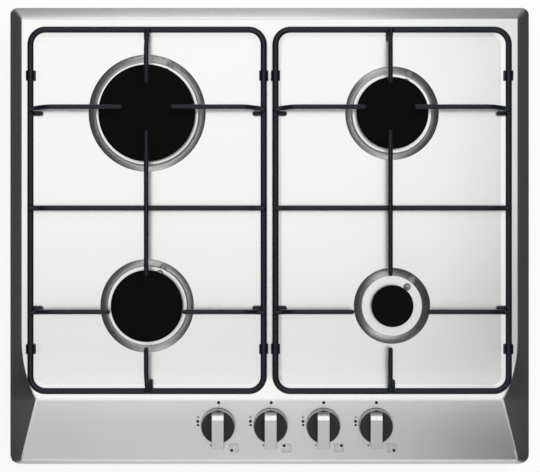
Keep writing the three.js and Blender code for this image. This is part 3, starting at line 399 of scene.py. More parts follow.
INK = finish("ink_black", (0.010, 0.010, 0.011), 0.0, (0.5, 0.65), 1500.0, specular=0.2, tint=0.1)
PALE_INK = finish("ink_grey", (0.19, 0.19, 0.19), 0.0, (0.5, 0.65), 1500.0, specular=0.2, tint=0.05)
PLASTIC = finish("plastic_black", (0.018, 0.018, 0.020), 0.0, (0.4, 0.55), 900.0, tint=0.12, bump=0.25,
                 depth=0.05)
ZINC = finish("zinc_plate", (0.48, 0.49, 0.50), 0.92, (0.3, 0.45), 330.0, tint=0.08, bump=0.12, wear=0.15)

# -------------------- camera, stage and light

CAMERA_DISTANCE = 2500.0
PHOTO_WIDTH_AT_RIM = 604.3
SENSOR = 36.0
CAMERA_X, CAMERA_Y = 0.45, -0.1

WORLD_STRENGTH = 0.72
FLOOR_HALF, FLOOR_Z_M = 15.0, -0.0006
FLOOR_SHADOW_SHARE = 0.13

# The studio cards and the stops of their tones are in metres.
CARD_REACH = 1.15
SIDE_CARD = [(0.31, 0.002), (0.55, 0.004), (0.9, 0.06), (1.08, 0.25), (CARD_REACH, 0.55), (1.12, 0.9),
             (0.95, 1.35)]
# The panel's edges reflect the low parts of the end cards, and the burner recesses reflect the high parts.
LOW_CARD = [(0.27, 0.002), (0.5, 0.004), (0.9, 0.06), (1.033, 0.2)]
HIGH_CARD = [(1.033, 0.2), (1.08, 0.25), (CARD_REACH, 0.55)]
TOP_CARD = [(CARD_REACH, 0.55), (CARD_REACH, 1.0)]
END_CARDS = (
    ("rear_low_card", LOW_CARD, 1,
     [(0.6, 0.30), (0.78, 0.36), (0.96, 0.42), (1.06, 0.46), (1.12, 0.44), (1.24, 0.34), (1.34, 0.28)]),
    ("rear_high_card", HIGH_CARD, 1,
     [(0.25, 0.05), (0.5, 0.65), (0.75, 1.45), (1.05, 1.45), (1.3, 0.40), (1.5, 0.06), (1.8, 0.05)]),
    ("rear_top_card", TOP_CARD, 1, [(0.0, 0.60), (2.0, 0.50)]),
    ("front_top_card", TOP_CARD, -1, [(0.0, 0.43), (2.0, 0.38)]),
    ("front_low_card", LOW_CARD, -1, [(0.5, 0.42), (0.9, 0.57), (1.1, 0.54), (1.25, 0.55), (1.5, 0.50)]),
    ("front_high_card", HIGH_CARD, -1,
     [(0.2, 0.05), (0.55, 0.5), (0.8, 1.3), (1.2, 1.3), (1.5, 0.25), (1.8, 0.05)]),
)
CEILING_HEIGHT, CEILING_HALF, CEILING_REAR = 0.85, 0.62, 0.62
# Where the ceiling changes from lighting the flat of the panel to its leaning band, and on to its strip.
CEILING_LEAN, CEILING_CREASE, CEILING_FRONT = -0.235, -0.34, -0.75


def make_camera():
    camera = add_object("camera", bpy.data.cameras.new("camera"))
    camera.location = Vector((CAMERA_X, CAMERA_Y, RIM_Z + CAMERA_DISTANCE)) * MM
    camera.data.sensor_width = SENSOR
    camera.data.lens = SENSOR * CAMERA_DISTANCE / PHOTO_WIDTH_AT_RIM
    camera.data.clip_end = 50
    bpy.context.scene.camera = camera


def seen_by_eye(tree):
    """1 for camera, glossy and transmission rays, else 0."""
    path = add_node(tree, "LightPath")
    total = path.outputs["Is Camera Ray"]
    for kind in ("Is Glossy Ray", "Is Transmission Ray"):
        most = add_node(tree, "Math", operation="MAXIMUM")
        tree.links.new(total, most.inputs[0])
        tree.links.new(path.outputs[kind], most.inputs[1])
        total = most.outputs[0]
    return total


def make_world():
    world = bpy.data.worlds.new("studio")
    bpy.context.scene.world = world
    world.use_nodes = True
    tree = world.node_tree
    background = tree.nodes["Background"]
    level = add_node(tree, "MapRange", {"To Min": WORLD_STRENGTH, "To Max": 1.0})
    tree.links.new(seen_by_eye(tree), level.inputs["Value"])
    tree.links.new(level.outputs["Result"], background.inputs["Strength"])
    set_inputs(background, {"Color": (1, 1, 1, 1)})


def stage_sheet(name, points, faces):
    """Sheet of the studio, and the node tree of its still empty material."""
    mesh = bpy.data.meshes.new(name)
    mesh.from_pydata(points, [], faces)
    look = bpy.data.materials.new(name)
    look.use_nodes = True
    tree = look.node_tree
    tree.nodes.remove(tree.nodes["Principled BSDF"])
    mesh.materials.append(look)
    return add_object(name, mesh), tree


def make_floor():
    """Pale floor. What the eye sees of it is mostly plain white, and the rest keeps the object's shadow."""
    corners = [(-1, -1), (1, -1), (1, 1), (-1, 1)]
    floor, tree = stage_sheet("floor", [(x * FLOOR_HALF, y * FLOOR_HALF, FLOOR_Z_M) for x, y in corners],
                              [(0, 1, 2, 3)])
    link = tree.links.new
    paint = add_node(tree, "BsdfDiffuse", {"Color": (0.88, 0.88, 0.875, 1)})
    glow = add_node(tree, "Emission", {"Color": (1, 1, 1, 1), "Strength": 1.0})
    share = add_node(tree, "Math", {1: 1.0 - FLOOR_SHADOW_SHARE}, operation="MULTIPLY")
    link(seen_by_eye(tree), share.inputs[0])
    mix = add_node(tree, "MixShader")
    link(share.outputs[0], mix.inputs["Fac"])
    link(paint.outputs["BSDF"], mix.inputs[1])
    link(glow.outputs["Emission"], mix.inputs[2])
    link(mix.outputs["Shader"], tree.nodes["Material Output"].inputs["Surface"])


def card(name, points, *tones):
    """A studio card that only reflections see. Each of `tones` is (from, to, stops): a ramp between two
    points, and the ramps are multiplied."""
    count = len(points) // 2
    faces = [(i, i + 1, count + i + 1, count + i) for i in range(count - 1)]
    thing, tree = stage_sheet(name, points, faces)
    thing.visible_camera = False
    thing.visible_diffuse = False
    thing.visible_shadow = False
    link = tree.links.new
    position = add_node(tree, "NewGeometry").outputs["Position"]
    result, *others = [tone_ramp(tree, position, *tone) for tone in tones]
    for ramp in others:
        both = add_node(tree, "VectorMath", operation="MULTIPLY")
        link(result, both.inputs[0])
        link(ramp, both.inputs[1])
        result = both.outputs["Vector"]
    glow = add_node(tree, "Emission")
    link(result, glow.inputs["Color"])
    link(glow.outputs["Emission"], tree.nodes["Material Output"].inputs["Surface"])


def tone_ramp(tree, position, start, end, stops):
    """Grey tone by place between two points. Stops are (distance in metres from the start, tone)."""
    way = Vector(end) - Vector(start)
    offset = add_node(tree, "VectorMath", {1: start}, operation="SUBTRACT")
    tree.links.new(position, offset.inputs[0])
    along = add_node(tree, "VectorMath", {1: way / way.length_squared}, operation="DOT_PRODUCT")
    tree.links.new(offset.outputs["Vector"], along.inputs[0])
    ramp = add_node(tree, "ValToRGB")
    ramp.color_ramp.interpolation = "EASE"
    elements = ramp.color_ramp.elements
    while len(elements) < len(stops):
        elements.new(0.5)
    for element, (distance, tone) in zip(elements, stops):
        element.position = distance / way.length
        element.color = (tone, tone, tone, 1)
    tree.links.new(along.outputs["Value"], ramp.inputs["Fac"])
    return ramp.outputs["Color"]


def ceiling(name, y0, y1, *tones):
    card(name, [(x, y, CEILING_HEIGHT) for y in (y0, y1) for x in (-CEILING_HALF, CEILING_HALF)], *tones)


def make_cards():
    """Dark coves left and right, light ones behind and in front, and a ceiling of three parts."""
    ends = (-CARD_REACH, CARD_REACH)
    for side, name, tone in ((-1, "left_card", 0.031), (1, "right_card", 0.021)):
        card(name, [(side * x, y, z) for y in ends for x, z in SIDE_CARD],
             ((0, 0, 0), (0, 0, 1.35), [(0.0, tone), (0.5, tone + 0.006), (1.35, tone + 0.025)]),
             ((0, -CARD_REACH, 0), (0, CARD_REACH, 0), [(0.0, 0.2), (0.80, 0.35), (0.98, 1.0)]))
    for name, profile, toward, stops in END_CARDS:
        card(name, [(x, toward * y, z) for x in ends for y, z in profile], ((-1.0, 0, 0), (1.0, 0, 0), stops))
    across = ((-CEILING_HALF, 0, 0), (CEILING_HALF, 0, 0))
    ceiling("overhead_card", CEILING_LEAN, CEILING_REAR,
            (*across, [(0.3, 1.0), (0.78, 1.0), (0.87, 0.95), (0.92, 0.85), (0.97, 0.76)]),
            ((0, CEILING_LEAN, 0), (0, CEILING_REAR, 0),
             [(0.0, 0.70), (0.085, 0.82), (0.185, 1.0), (0.27, 1.05), (0.47, 1.09), (0.67, 1.11)]),
            ((0, 0, 0), (0.5, -0.5, 0), [(0.18, 1.0), (0.25, 0.92), (0.29, 0.82), (0.38, 0.68), (0.5, 0.62)]))
    ceiling("band_card", CEILING_CREASE, CEILING_LEAN, (*across, [(0.3, 1.38), (0.87, 1.38), (0.97, 1.45)]))
    ceiling("strip_card", CEILING_FRONT, CEILING_CREASE,
            (*across, [(0.28, 0.54), (0.40, 0.59), (0.52, 0.63), (0.66, 0.63), (0.74, 0.57), (0.87, 0.42),
                       (0.92, 0.24), (0.97, 0.08)]),
            ((0, CEILING_CREASE, 0), (0, CEILING_FRONT, 0), [(0.0, 0.68), (0.10, 0.88), (0.16, 1.06)]))


def make_lamp(name, where, size, energy):
    lamp = bpy.data.lights.new(name, "AREA")
    lamp.shape = "DISK"
    lamp.size = size
    lamp.energy = energy
    thing = add_object(name, lamp)
    thing.location = where
    thing.rotation_euler = (-Vector(where)).to_track_quat("-Z", "Y").to_euler()
    thing.visible_glossy = False


bpy.context.scene.view_settings.view_transform = "Standard"
make_camera()
make_world()
make_floor()
make_cards()
make_lamp("key_lamp", (0.9, 0.9, 2.2), 1.2, 26.0)

# -------------------- top panel

CREST_FILLET, LIP_FILLET, FLANGE_FILLET, FLANGE_EDGE = 2.2, 0.8, 0.9, 1.2
TRAY_FILLETS, RECESS_FILLETS = (7.0, 7.0), (1.2, 1.0)
TRAY_HALF_X, TRAY_HALF_Y = [size / 2 - TRAY_INSET - TRAY_RUN for size in (GRATE_WIDTH, GRATE_DEPTH)]
TRAY_FOOT_RADIUS = TRAY_CORNER_RADIUS - TRAY_RUN
LEAN_START_Y, LEAN_Y, LEAN_END_Y, LEAN_SLOPE = -155.0, -163.0, -180.5, 0.035
CREASE_END_Y = -184.7
FRONT_SKIN_Y = -DEPTH / 2 + FRONT_RUN
FRONT_SKIN_Z = TOP_Z - (CREASE_Y - FRONT_SKIN_Y) * STRIP_SLOPE
CORNER_STEPS, RECESS_SIDES, CUP_HOLE_SIDES, ROW_POINTS = 10, 128, 96, 60
PANEL_WELD = 0.003


def outer_z(y):
    """Height of the outer skin: flat, leaning forward a little, then the rounded crease and the strip."""
    if y >= LEAN_START_Y:
        return TOP_Z
    start = LEAN_START_Y - LEAN_Y
    if y >= LEAN_Y:
        return TOP_Z - LEAN_SLOPE * (LEAN_START_Y - y) ** 2 / (2 * start)
    lean = TOP_Z - LEAN_SLOPE * start / 2
    if y >= LEAN_END_Y:
        return lean - LEAN_SLOPE * (LEAN_Y - y)
    top = lean - LEAN_SLOPE * (LEAN_Y - LEAN_END_Y)
    length = LEAN_END_Y - CREASE_END_Y
    run = CREASE_END_Y - FRONT_SKIN_Y
    # The strip starts tangent to the rounded crease and ends on the front edge.
    slope = (top - FRONT_SKIN_Z - LEAN_SLOPE * length / 2) / (run + length / 2)
    if y >= CREASE_END_Y:
        past = LEAN_END_Y - y
        return top - LEAN_SLOPE * past - (slope - LEAN_SLOPE) * past ** 2 / (2 * length)
    return top - (LEAN_SLOPE + slope) * length / 2 - slope * (CREASE_END_Y - y)


def soft_step(u, run, drop, fillets):
    """Height above the low side of a slope with a rounded foot and edge, from u = 0 to u = `run`."""
    tilt = math.atan2(drop, run)
    foot, edge = fillets
    low, high = foot * math.tan(tilt / 2), edge * math.tan(tilt / 2)
    if u <= -low:
        return 0.0
    if u < low * math.cos(tilt):
        return foot - math.sqrt(max(foot ** 2 - (u + low) ** 2, 0.0))
    if u <= run - high * math.cos(tilt):
        return u * drop / run
    if u < run + high:
        return drop - edge + math.sqrt(max(edge ** 2 - (run + high - u) ** 2, 0.0))
    return drop


def step_spots(run, drop, fillets, steps):
    """Places across a soft step where its section needs points."""
    tilt = math.atan2(drop, run)
    foot, edge = fillets
    past = [math.sin(tilt * (k / steps)) - math.tan(tilt / 2) for k in range(steps + 1)]
    return [foot * step for step in past] + [run - edge * step for step in reversed(past)]


def tray_outline(side, u):
    """Outline of a tray, u outwards from the foot of its slope."""
    return rounded_box(side * GRATE_X, GRATE_Y, TRAY_HALF_X + u, TRAY_HALF_Y + u, TRAY_FOOT_RADIUS + u, 14)


def tray_distance(x, y):
    """Distance outwards from the foot of the nearer tray's slope."""
    dx = abs(abs(x) - GRATE_X) - (TRAY_HALF_X - TRAY_FOOT_RADIUS)
    dy = abs(y - GRATE_Y) - (TRAY_HALF_Y - TRAY_FOOT_RADIUS)
    return math.hypot(max(dx, 0), max(dy, 0)) + min(max(dx, dy), 0) - TRAY_FOOT_RADIUS


def skin_z(x, y):
    """Height of the panel's upper skin."""
    z = TRAY_Z + soft_step(tray_distance(x, y), TRAY_RUN, outer_z(y) - TRAY_Z, TRAY_FILLETS)
    for burner in BURNERS.values():
        away = math.hypot(x - burner["x"], y - burner["y"])
        if away < burner["recess"] + 8:
            run = burner["recess"] - burner["floor"]
            z = FLOOR_Z + soft_step(away - burner["floor"], run, TRAY_Z - FLOOR_Z, RECESS_FILLETS)
    return z


def skin_normal(x, y):
    step = 0.05
    slope_x = (skin_z(x + step, y) - skin_z(x - step, y)) / (2 * step)
    slope_y = (skin_z(x, y + step) - skin_z(x, y - step)) / (2 * step)
    return Vector((-slope_x, -slope_y, 1)).normalized()


def spaced(start, end, steps, first=1):
    """Evenly spaced values up to `end`, from step number `first` on."""
    return [start + (end - start) * k / steps for k in range(first, steps + 1)]


def panel_rows():
    """Places along Y where the outer skin bends, from front to rear."""
    rows = spaced(CREASE_END_Y, LEAN_END_Y, 8, 0)
    return rows + spaced(LEAN_END_Y, LEAN_Y, 3) + spaced(LEAN_Y, LEAN_START_Y, 5)


def crest_x(y):
    """Right-hand edge of the upper skin."""
    edge = WIDTH / 2 - SIDE_RUN

    def bend(at):
        past = max(0.0, CREASE_Y + BEND_LENGTH - at)
        return edge - BEND_RADIUS + math.sqrt(BEND_RADIUS ** 2 - past ** 2)

    if y >= CREASE_Y:
        return bend(y)
    front = FRONT_SKIN_Y + CREST_CORNER_RADIUS
    share = max(0.0, y - front) / (CREASE_Y - front)
    return edge + (bend(CREASE_Y) - edge) * share


def rim_pairs():
    """Points round the outline and the crest, counter-clockwise, starting at the front right."""
    front_y = FRONT_SKIN_Y + CREST_CORNER_RADIUS
    rear_y = DEPTH / 2 - REAR_RUN - CREST_CORNER_RADIUS
    edge = WIDTH / 2 - SIDE_RUN - CREST_CORNER_RADIUS

    def corner(radius, y, crest_y, start):
        outline = arc(WIDTH / 2 - radius, y, radius, start, start + 90, CORNER_STEPS)
        return list(zip(outline, arc(edge, crest_y, CREST_CORNER_RADIUS, start, start + 90, CORNER_STEPS)))

    bend_end = CREASE_Y + BEND_LENGTH
    rows = spaced(front_y, CREASE_END_Y, 6)[:-1] + panel_rows()
    rows += spaced(LEAN_START_Y, bend_end, 8) + spaced(bend_end, rear_y - 20, 10)
    right = corner(FRONT_CORNER_RADIUS, -DEPTH / 2 + FRONT_CORNER_RADIUS, front_y, -90)
    right += [((WIDTH / 2, y), (crest_x(y), y)) for y in rows]
    right += corner(REAR_CORNER_RADIUS, DEPTH / 2 - REAR_CORNER_RADIUS, rear_y, 0)
    left = [((-ox, oy), (-cx, cy)) for (ox, oy), (cx, cy) in reversed(right)]
    return right + left


def top_skin(inner_ring):
    """Triangles of the upper skin inside a ring, as points (x, y) and faces."""
    points = list(inner_ring)
    loops = [list(range(len(points)))]

    def add_loop(outline):
        start = len(points)
        points.extend(outline)
        loops.append(list(range(start, len(points))))

    for side in (-1, 1):
        for u in step_spots(TRAY_RUN, TOP_Z - TRAY_Z, TRAY_FILLETS, 4):
            add_loop(tray_outline(side, u))
    holes = []
    for burner in BURNERS.values():
        x, y, floor = burner["x"], burner["y"], burner["floor"]
        for u in step_spots(burner["recess"] - floor, TRAY_Z - FLOOR_Z, RECESS_FILLETS, 6):
            add_loop(circle(x, y, floor + u, RECESS_SIDES))
        holes.append((x, y, burner["cup"] + GAP, CUP_HOLE_SIDES))
        holes.append((*spark_spot(burner), CERAMIC_RADIUS + 1.5, 28))
    holes += [(x, KNOB_Y, SPINDLE_HOLE_RADIUS, 24) for x in KNOB_XS]
    for hole in holes:
        add_loop(circle(*hole))
    edges = [pair for loop in loops for pair in zip(loop, loop[1:] + loop[:1])]
    for y in panel_rows():
        reach = crest_x(y) - CREST_FILLET - 4
        start = len(points)
        points.extend((-reach + 2 * reach * k / ROW_POINTS, y) for k in range(ROW_POINTS + 1))
        edges += [(start + k, start + k + 1) for k in range(ROW_POINTS)]
    verts, _, faces, _, _, _ = delaunay_2d_cdt([Vector(point) for point in points], edges, [], 1, 1e-4)

    def in_hole(face):
        cx, cy = sum(verts[i].x for i in face) / 3, sum(verts[i].y for i in face) / 3
        return any(math.hypot(cx - x, cy - y) < radius for x, y, radius, _ in holes)

    return verts, [list(face) for face in faces if not in_hole(face)]


def spark_spot(burner):
    angle = math.radians(burner["angle"])
    return burner["x"] + burner["spark"] * math.cos(angle), burner["y"] + burner["spark"] * math.sin(angle)


def soft_edge(corners, back, ahead, reach_back, reach_ahead, steps):
    """Rings of a rounded edge along a line of corners."""
    rings = []
    for k in range(steps + 1):
        rings.append([
            tuple(bend_point(corner + b * reach_back, corner, corner + a * reach_ahead, k / steps))
            for corner, b, a in zip(corners, back, ahead)
        ])
    return rings


def make_skin():
    """The pressed panel as one open skin, from the return flange over the rim to the holes."""
    pairs = rim_pairs()
    count = len(pairs)
    outline = [Vector((ox, oy)) for (ox, oy), _ in pairs]
    crest = [Vector((cx, cy, outer_z(cy))) for _, (cx, cy) in pairs]

    def inwards(line, i):
        """Unit step to the inside of a closed line at one of its points."""
        before, after = line[i - 1], line[(i + 1) % count]
        along = Vector((after.x - before.x, after.y - before.y)).normalized()
        return Vector((-along.y, along.x))

    def inset_ring(inset, z):
        """The outline drawn in along its own normals."""
        spots = [spot + inwards(outline, i) * inset for i, spot in enumerate(outline)]
        return [(spot.x, spot.y, z) for spot in spots]

    def flange_ring(inset):
        """The outline cut back to a smaller box, at the height of the flange."""
        x, y = WIDTH / 2 - inset, DEPTH / 2 - inset
        return [(max(min(spot.x, x), -x), max(min(spot.y, y), -y), RIM_Z) for spot in outline]

    rings = [flange_ring(SHEET + RETURN_WIDTH), flange_ring(SHEET + FLANGE_EDGE)]
    for k in range(5):
        angle = math.pi / 2 * k / 4
        rings.append(inset_ring(FLANGE_FILLET * (1 - math.sin(angle)),
                                RIM_Z + FLANGE_FILLET * (1 - math.cos(angle))))
    lip = [Vector(point) for point in inset_ring(0, LIP_TOP_Z)]
    down = [Vector((0, 0, -1))] * count
    slope = [(top - low).normalized() for top, low in zip(crest, lip)]
    rings += soft_edge(lip, down, slope, LIP_FILLET * 0.6, LIP_FILLET, 4)
    inward = []
    for i, spot in enumerate(crest):
        step = inwards(crest, i)
        x, y = spot.x + step.x * CREST_FILLET, spot.y + step.y * CREST_FILLET
        inward.append((Vector((x, y, outer_z(y))) - spot) / CREST_FILLET)
    rings += soft_edge(crest, [-s for s in slope], inward, CREST_FILLET, CREST_FILLET, 6)
    verts, faces = top_skin([(x, y) for x, y, _ in rings[-1]])
    shape = Shape()
    shape.rings(rings, ends=False)
    shape.add([(v.x, v.y, skin_z(v.x, v.y)) for v in verts], faces)
    return clean_mesh("top_skin", shape, PANEL_WELD, drop_slivers=False)


def skin_normals(mesh):
    """True normals of the upper skin by its formula, and the mesh's own ones elsewhere."""
    normals = []
    for vertex in mesh.vertices:
        x, y, z = vertex.co / MM
        inside = abs(z - skin_z(x, y)) < 0.02 and abs(x) < crest_x(y) - CREST_FILLET + 0.1
        normals.append(skin_normal(x, y) if inside and z > FLOOR_Z - 1 else vertex.normal.copy())
    return normals


def thicken(mesh, normals, thickness):
    """Closed sheet from an open skin: a second skin under it and walls along its open edges."""
    count = len(mesh.vertices)
    up = [vertex.co.copy() for vertex in mesh.vertices]
    low = [co - n * thickness * MM for co, n in zip(up, normals)]
    faces = [list(face.vertices) for face in mesh.polygons]
    used = dict.fromkeys(pair for face in faces for pair in zip(face, face[1:] + face[:1]))
    walls = [[b, a, a + count, b + count] for a, b in used if (b, a) not in used]
    under = [[i + count for i in reversed(face)] for face in faces]
    sheet = bpy.data.meshes.new("top_panel_sheet")
    sheet.from_pydata(up + low, [], faces + under + walls)
    sheet.shade_smooth()
    sheet.set_sharp_from_angle(angle=math.radians(50))
    sheet.normals_split_custom_set_from_vertices(normals + [-n for n in normals])
    return sheet


def make_panel():
    skin = make_skin()
    sheet = thicken(skin, skin_normals(skin), SHEET)
    sheet.materials.append(STEEL)
    thing = add_object("top_panel_sheet", sheet)
    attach(thing, "root")
    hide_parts("top_panel")


make_panel()

# -------------------- burners

CUP_WALL, CUP_BASE_Z, CUP_FLOOR_Z, CUP_BORE = 2.2, 8.0, 11.0, 3.3
CUP_FLANGE_TOP = FLOOR_Z - SHEET - GAP
CUP_FLANGE_LOW = CUP_FLANGE_TOP - 2.2
GAS_INLET_Z = 15.0
SLOT_WIDTH, SLOT_DEPTH = 1.3, 2.6


def make_cup(name, burner):
    x, y, cup, spark = burner["x"], burner["y"], burner["cup"], burner["spark"]
    shape = Shape()
    shape.turned(rounded([
        (CUP_BORE, CUP_BASE_Z), (cup, CUP_BASE_Z), (cup, CUP_FLANGE_LOW), (cup + 7, CUP_FLANGE_LOW),
        (cup + 7, CUP_FLANGE_TOP), (cup, CUP_FLANGE_TOP), (cup, CUP_RIM_Z), (cup - CUP_WALL, CUP_RIM_Z),
        (cup - CUP_WALL, CUP_FLOOR_Z), (CUP_BORE, CUP_FLOOR_Z),
    ], [0.4, 2.5, 1, 0.8, 0.6, 0.8, 0.8, 0.8, 2.5, 0.4], 3), x, y, 72)
    boss = rounded([(0, 0), (6.5, 0), (6.5, 11.1), (0, 11.1)], [0, 0.3, 0.8, 0], 3)
    turn = Matrix.Rotation(math.radians(burner["inlet"]), 4, "Z")
    start = Vector((x, y, GAS_INLET_Z)) + turn @ Vector((cup - CUP_WALL / 2, 0, 0))
    shape.turned(boss, 0, 0, 32, Matrix.Translation(start) @ turn @ Matrix.Rotation(math.pi / 2, 4, "Y"))
    lug = rounded([(cup + 6, -5.5), (spark, -5.5), (spark + 5.5, 0), (spark, 5.5), (cup + 6, 5.5)],
                  [0, 4, 5, 4, 0], 6)
    hole = []
    for px, py in lug:
        way = Vector((px - spark, py)).normalized() * (CERAMIC_RADIUS + 1.6)
        hole.append((spark + way.x, way.y))
    aim = placed((x, y, 0), math.radians(burner["angle"]), "Z")
    shape.washer(lug, hole, aim, CUP_FLANGE_LOW, CUP_FLANGE_TOP - 0.02)
    piece(f"cup_cast_{name}", shape, CAST, "root", [f"burner_cup_{name}"])


def make_injector(name, burner):
    x, y = burner["x"], burner["y"]
    seat = CUP_FLOOR_Z + GAP
    shape = Shape()
    body = rounded([(0, 6.0), (3.0, 6.0), (3.0, seat + 0.3), (0, seat + 0.3)], [0, 0.3, 0, 0], 2)
    shape.turned(body, x, y, 24)
    shape.prism(circle(x, y, 5.6 / math.cos(math.pi / 8), 6), Matrix.Identity(4), seat, seat + 5)
    nose = rounded([(0, seat + 4.8), (3.0, seat + 4.8), (2.4, seat + 8.5), (0.6, seat + 8.5),
                    (0.35, seat + 7.2), (0, seat + 7.2)], [0, 0, 0.5, 0.2, 0, 0], 3)
    shape.turned(nose, x, y, 24)
    piece(f"jet_{name}", shape, BRASS, "root", [f"injector_{name}"], bevel=0.2)


def make_head(name, burner):
    """Flame spreader with its ring of slots."""
    x, y, venturi = burner["x"], burner["y"], burner["venturi"]
    radius = burner["cap"] - CAP_OVERHANG
    inside = radius - HEAD_WALL
    collar = burner["cup"] - CUP_WALL - GAP
    seat, wall_top = CUP_RIM_Z + GAP, CAP_BASE_Z - GAP
    plate_top, slot_floor = seat + 2.5, wall_top - SLOT_DEPTH
    shape = Shape()
    shape.turned(rounded([
        (venturi, 24.0), (venturi + 2, 24.0), (venturi + 2, seat - 4.5), (collar, seat - 4.5), (collar, seat),
        (radius - 1.2, seat), (radius, seat + 1.4), (radius, slot_floor), (inside, slot_floor),
        (inside, plate_top), (venturi, plate_top),
    ], [0.5, 0.6, 2.0, 0.6, 0.3, 0.8, 1.0, 0.0, 0.0, 2.5, 1.5], 3), x, y, 96)
    tooth = [(inside, slot_floor - 0.4), (radius, slot_floor - 0.4), (radius, wall_top - 0.5),
             (radius - 0.5, wall_top), (inside + 0.3, wall_top), (inside, wall_top - 0.3)]
    pitch, half_slot = 2 * math.pi / burner["slots"], SLOT_WIDTH / 2 / radius
    for k in range(burner["slots"]):
        angles = spaced(pitch * (k + 0.5) + half_slot, pitch * (k + 1.5) - half_slot, 4, 0)
        shape.rings([[(x + r * math.cos(angle), y + r * math.sin(angle), z) for r, z in tooth]
                     for angle in angles])
    head = f"burner_head_{name}"
    piece(f"spreader_{name}", shape, HEAD_ALLOY, head, [head])


def make_cap(name, burner):
    """Enamelled cap: flat top, a fine step near the edge and a rounded rim."""
    edge = burner["cap"]
    ring = edge - CAP_OVERHANG - HEAD_WALL - 2 * GAP
    shape = Shape()
    shape.turned(rounded([
        (0, CAP_BASE_Z - 2), (ring, CAP_BASE_Z - 2), (ring, CAP_BASE_Z), (edge - 0.8, CAP_BASE_Z),
        (edge, CAP_BASE_Z + 0.6), (edge, CAP_TOP_Z - 1.5), (edge - 1.7, CAP_TOP_Z - 0.35),
        (edge - 2.6, CAP_TOP_Z - 0.05), (0, CAP_TOP_Z),
    ], [0, 0.4, 0.3, 0.4, 0.4, 1.1, 0.8, 0.4, 0], 5), burner["x"], burner["y"], 144)
    cap = f"burner_cap_{name}"
    piece(f"cap_{name}", shape, CAP_ENAMEL, cap, [cap], sharp=60)


def make_electrode(name, burner):
    x, y = spark_spot(burner)
    collar_top = CUP_FLANGE_LOW - GAP
    top, tip = CAP_BASE_Z - 6, CAP_BASE_Z - 1
    shape = Shape()
    shape.turned(rounded([
        (0, 26.0), (4.4, 26.0), (4.4, collar_top), (CERAMIC_RADIUS, collar_top), (CERAMIC_RADIUS, top),
        (1.35, top + 0.9), (0, top + 0.9),
    ], [0, 0.8, 0.8, 0.3, 0.6, 0.3, 0], 4), x, y, 28)
    piece(f"ceramic_{name}", shape, CERAMIC, "root", [f"spark_electrode_{name}"])
    pin = Shape()
    pin.turned(rounded([(0, top - 1), (1.1, top - 1), (1.1, tip - 0.4), (0.7, tip), (0, tip)],
                       [0, 0, 0.3, 0.3, 0], 3), x, y, 20)
    piece(f"spark_pin_{name}", pin, PIN, "root")


for burner_name, burner_size in BURNERS.items():
    for make in (make_cup, make_injector, make_head, make_cap, make_electrode):
        make(burner_name, burner_size)

# -------------------- pan supports

WIRE_OVERLAP = 0.5
FINGER_RADIUS = FINGER_WIRE / 2
FINGER_DOME = FINGER_RADIUS * 0.55


def add_finger(shape, place, frame_at, tip, stub_shift, bow):
    """A finger over the frame wire, bowed a little aside at its end, and the pin welded under the frame."""
    over = FRAME_Z + (FRAME_WIRE + FINGER_WIRE) / 2 - WIRE_OVERLAP
    under = FRAME_Z - (FRAME_WIRE + FINGER_WIRE) / 2 + WIRE_OVERLAP
    inwards = 1 if tip < frame_at - RISE_END else -1
    corners = [
        (tip + inwards * FINGER_DOME, 0, FINGER_Z), (frame_at - RISE_END, 0, FINGER_Z),
        (frame_at - RISE_START, bow * 0.35, over), (frame_at, bow, over),
        (frame_at + FINGER_END - FINGER_DOME, bow * 1.25, over - FINGER_DIP),
    ]
    shape.tube([place(*spot) for spot in bent(corners, 6, 6)], FINGER_RADIUS)
    stub = (frame_at + 0.5, frame_at - STUB_REACH + FINGER_DOME)
    shape.tube([place(along, stub_shift, under) for along in stub], FINGER_RADIUS)
    shape.bead(place(frame_at, bow, FRAME_Z + FRAME_WIRE / 2), (3.3, 3.3, 1.5))
    shape.bead(place(frame_at, stub_shift, FRAME_Z - FRAME_WIRE / 2), (3.2, 3.2, 1.3))


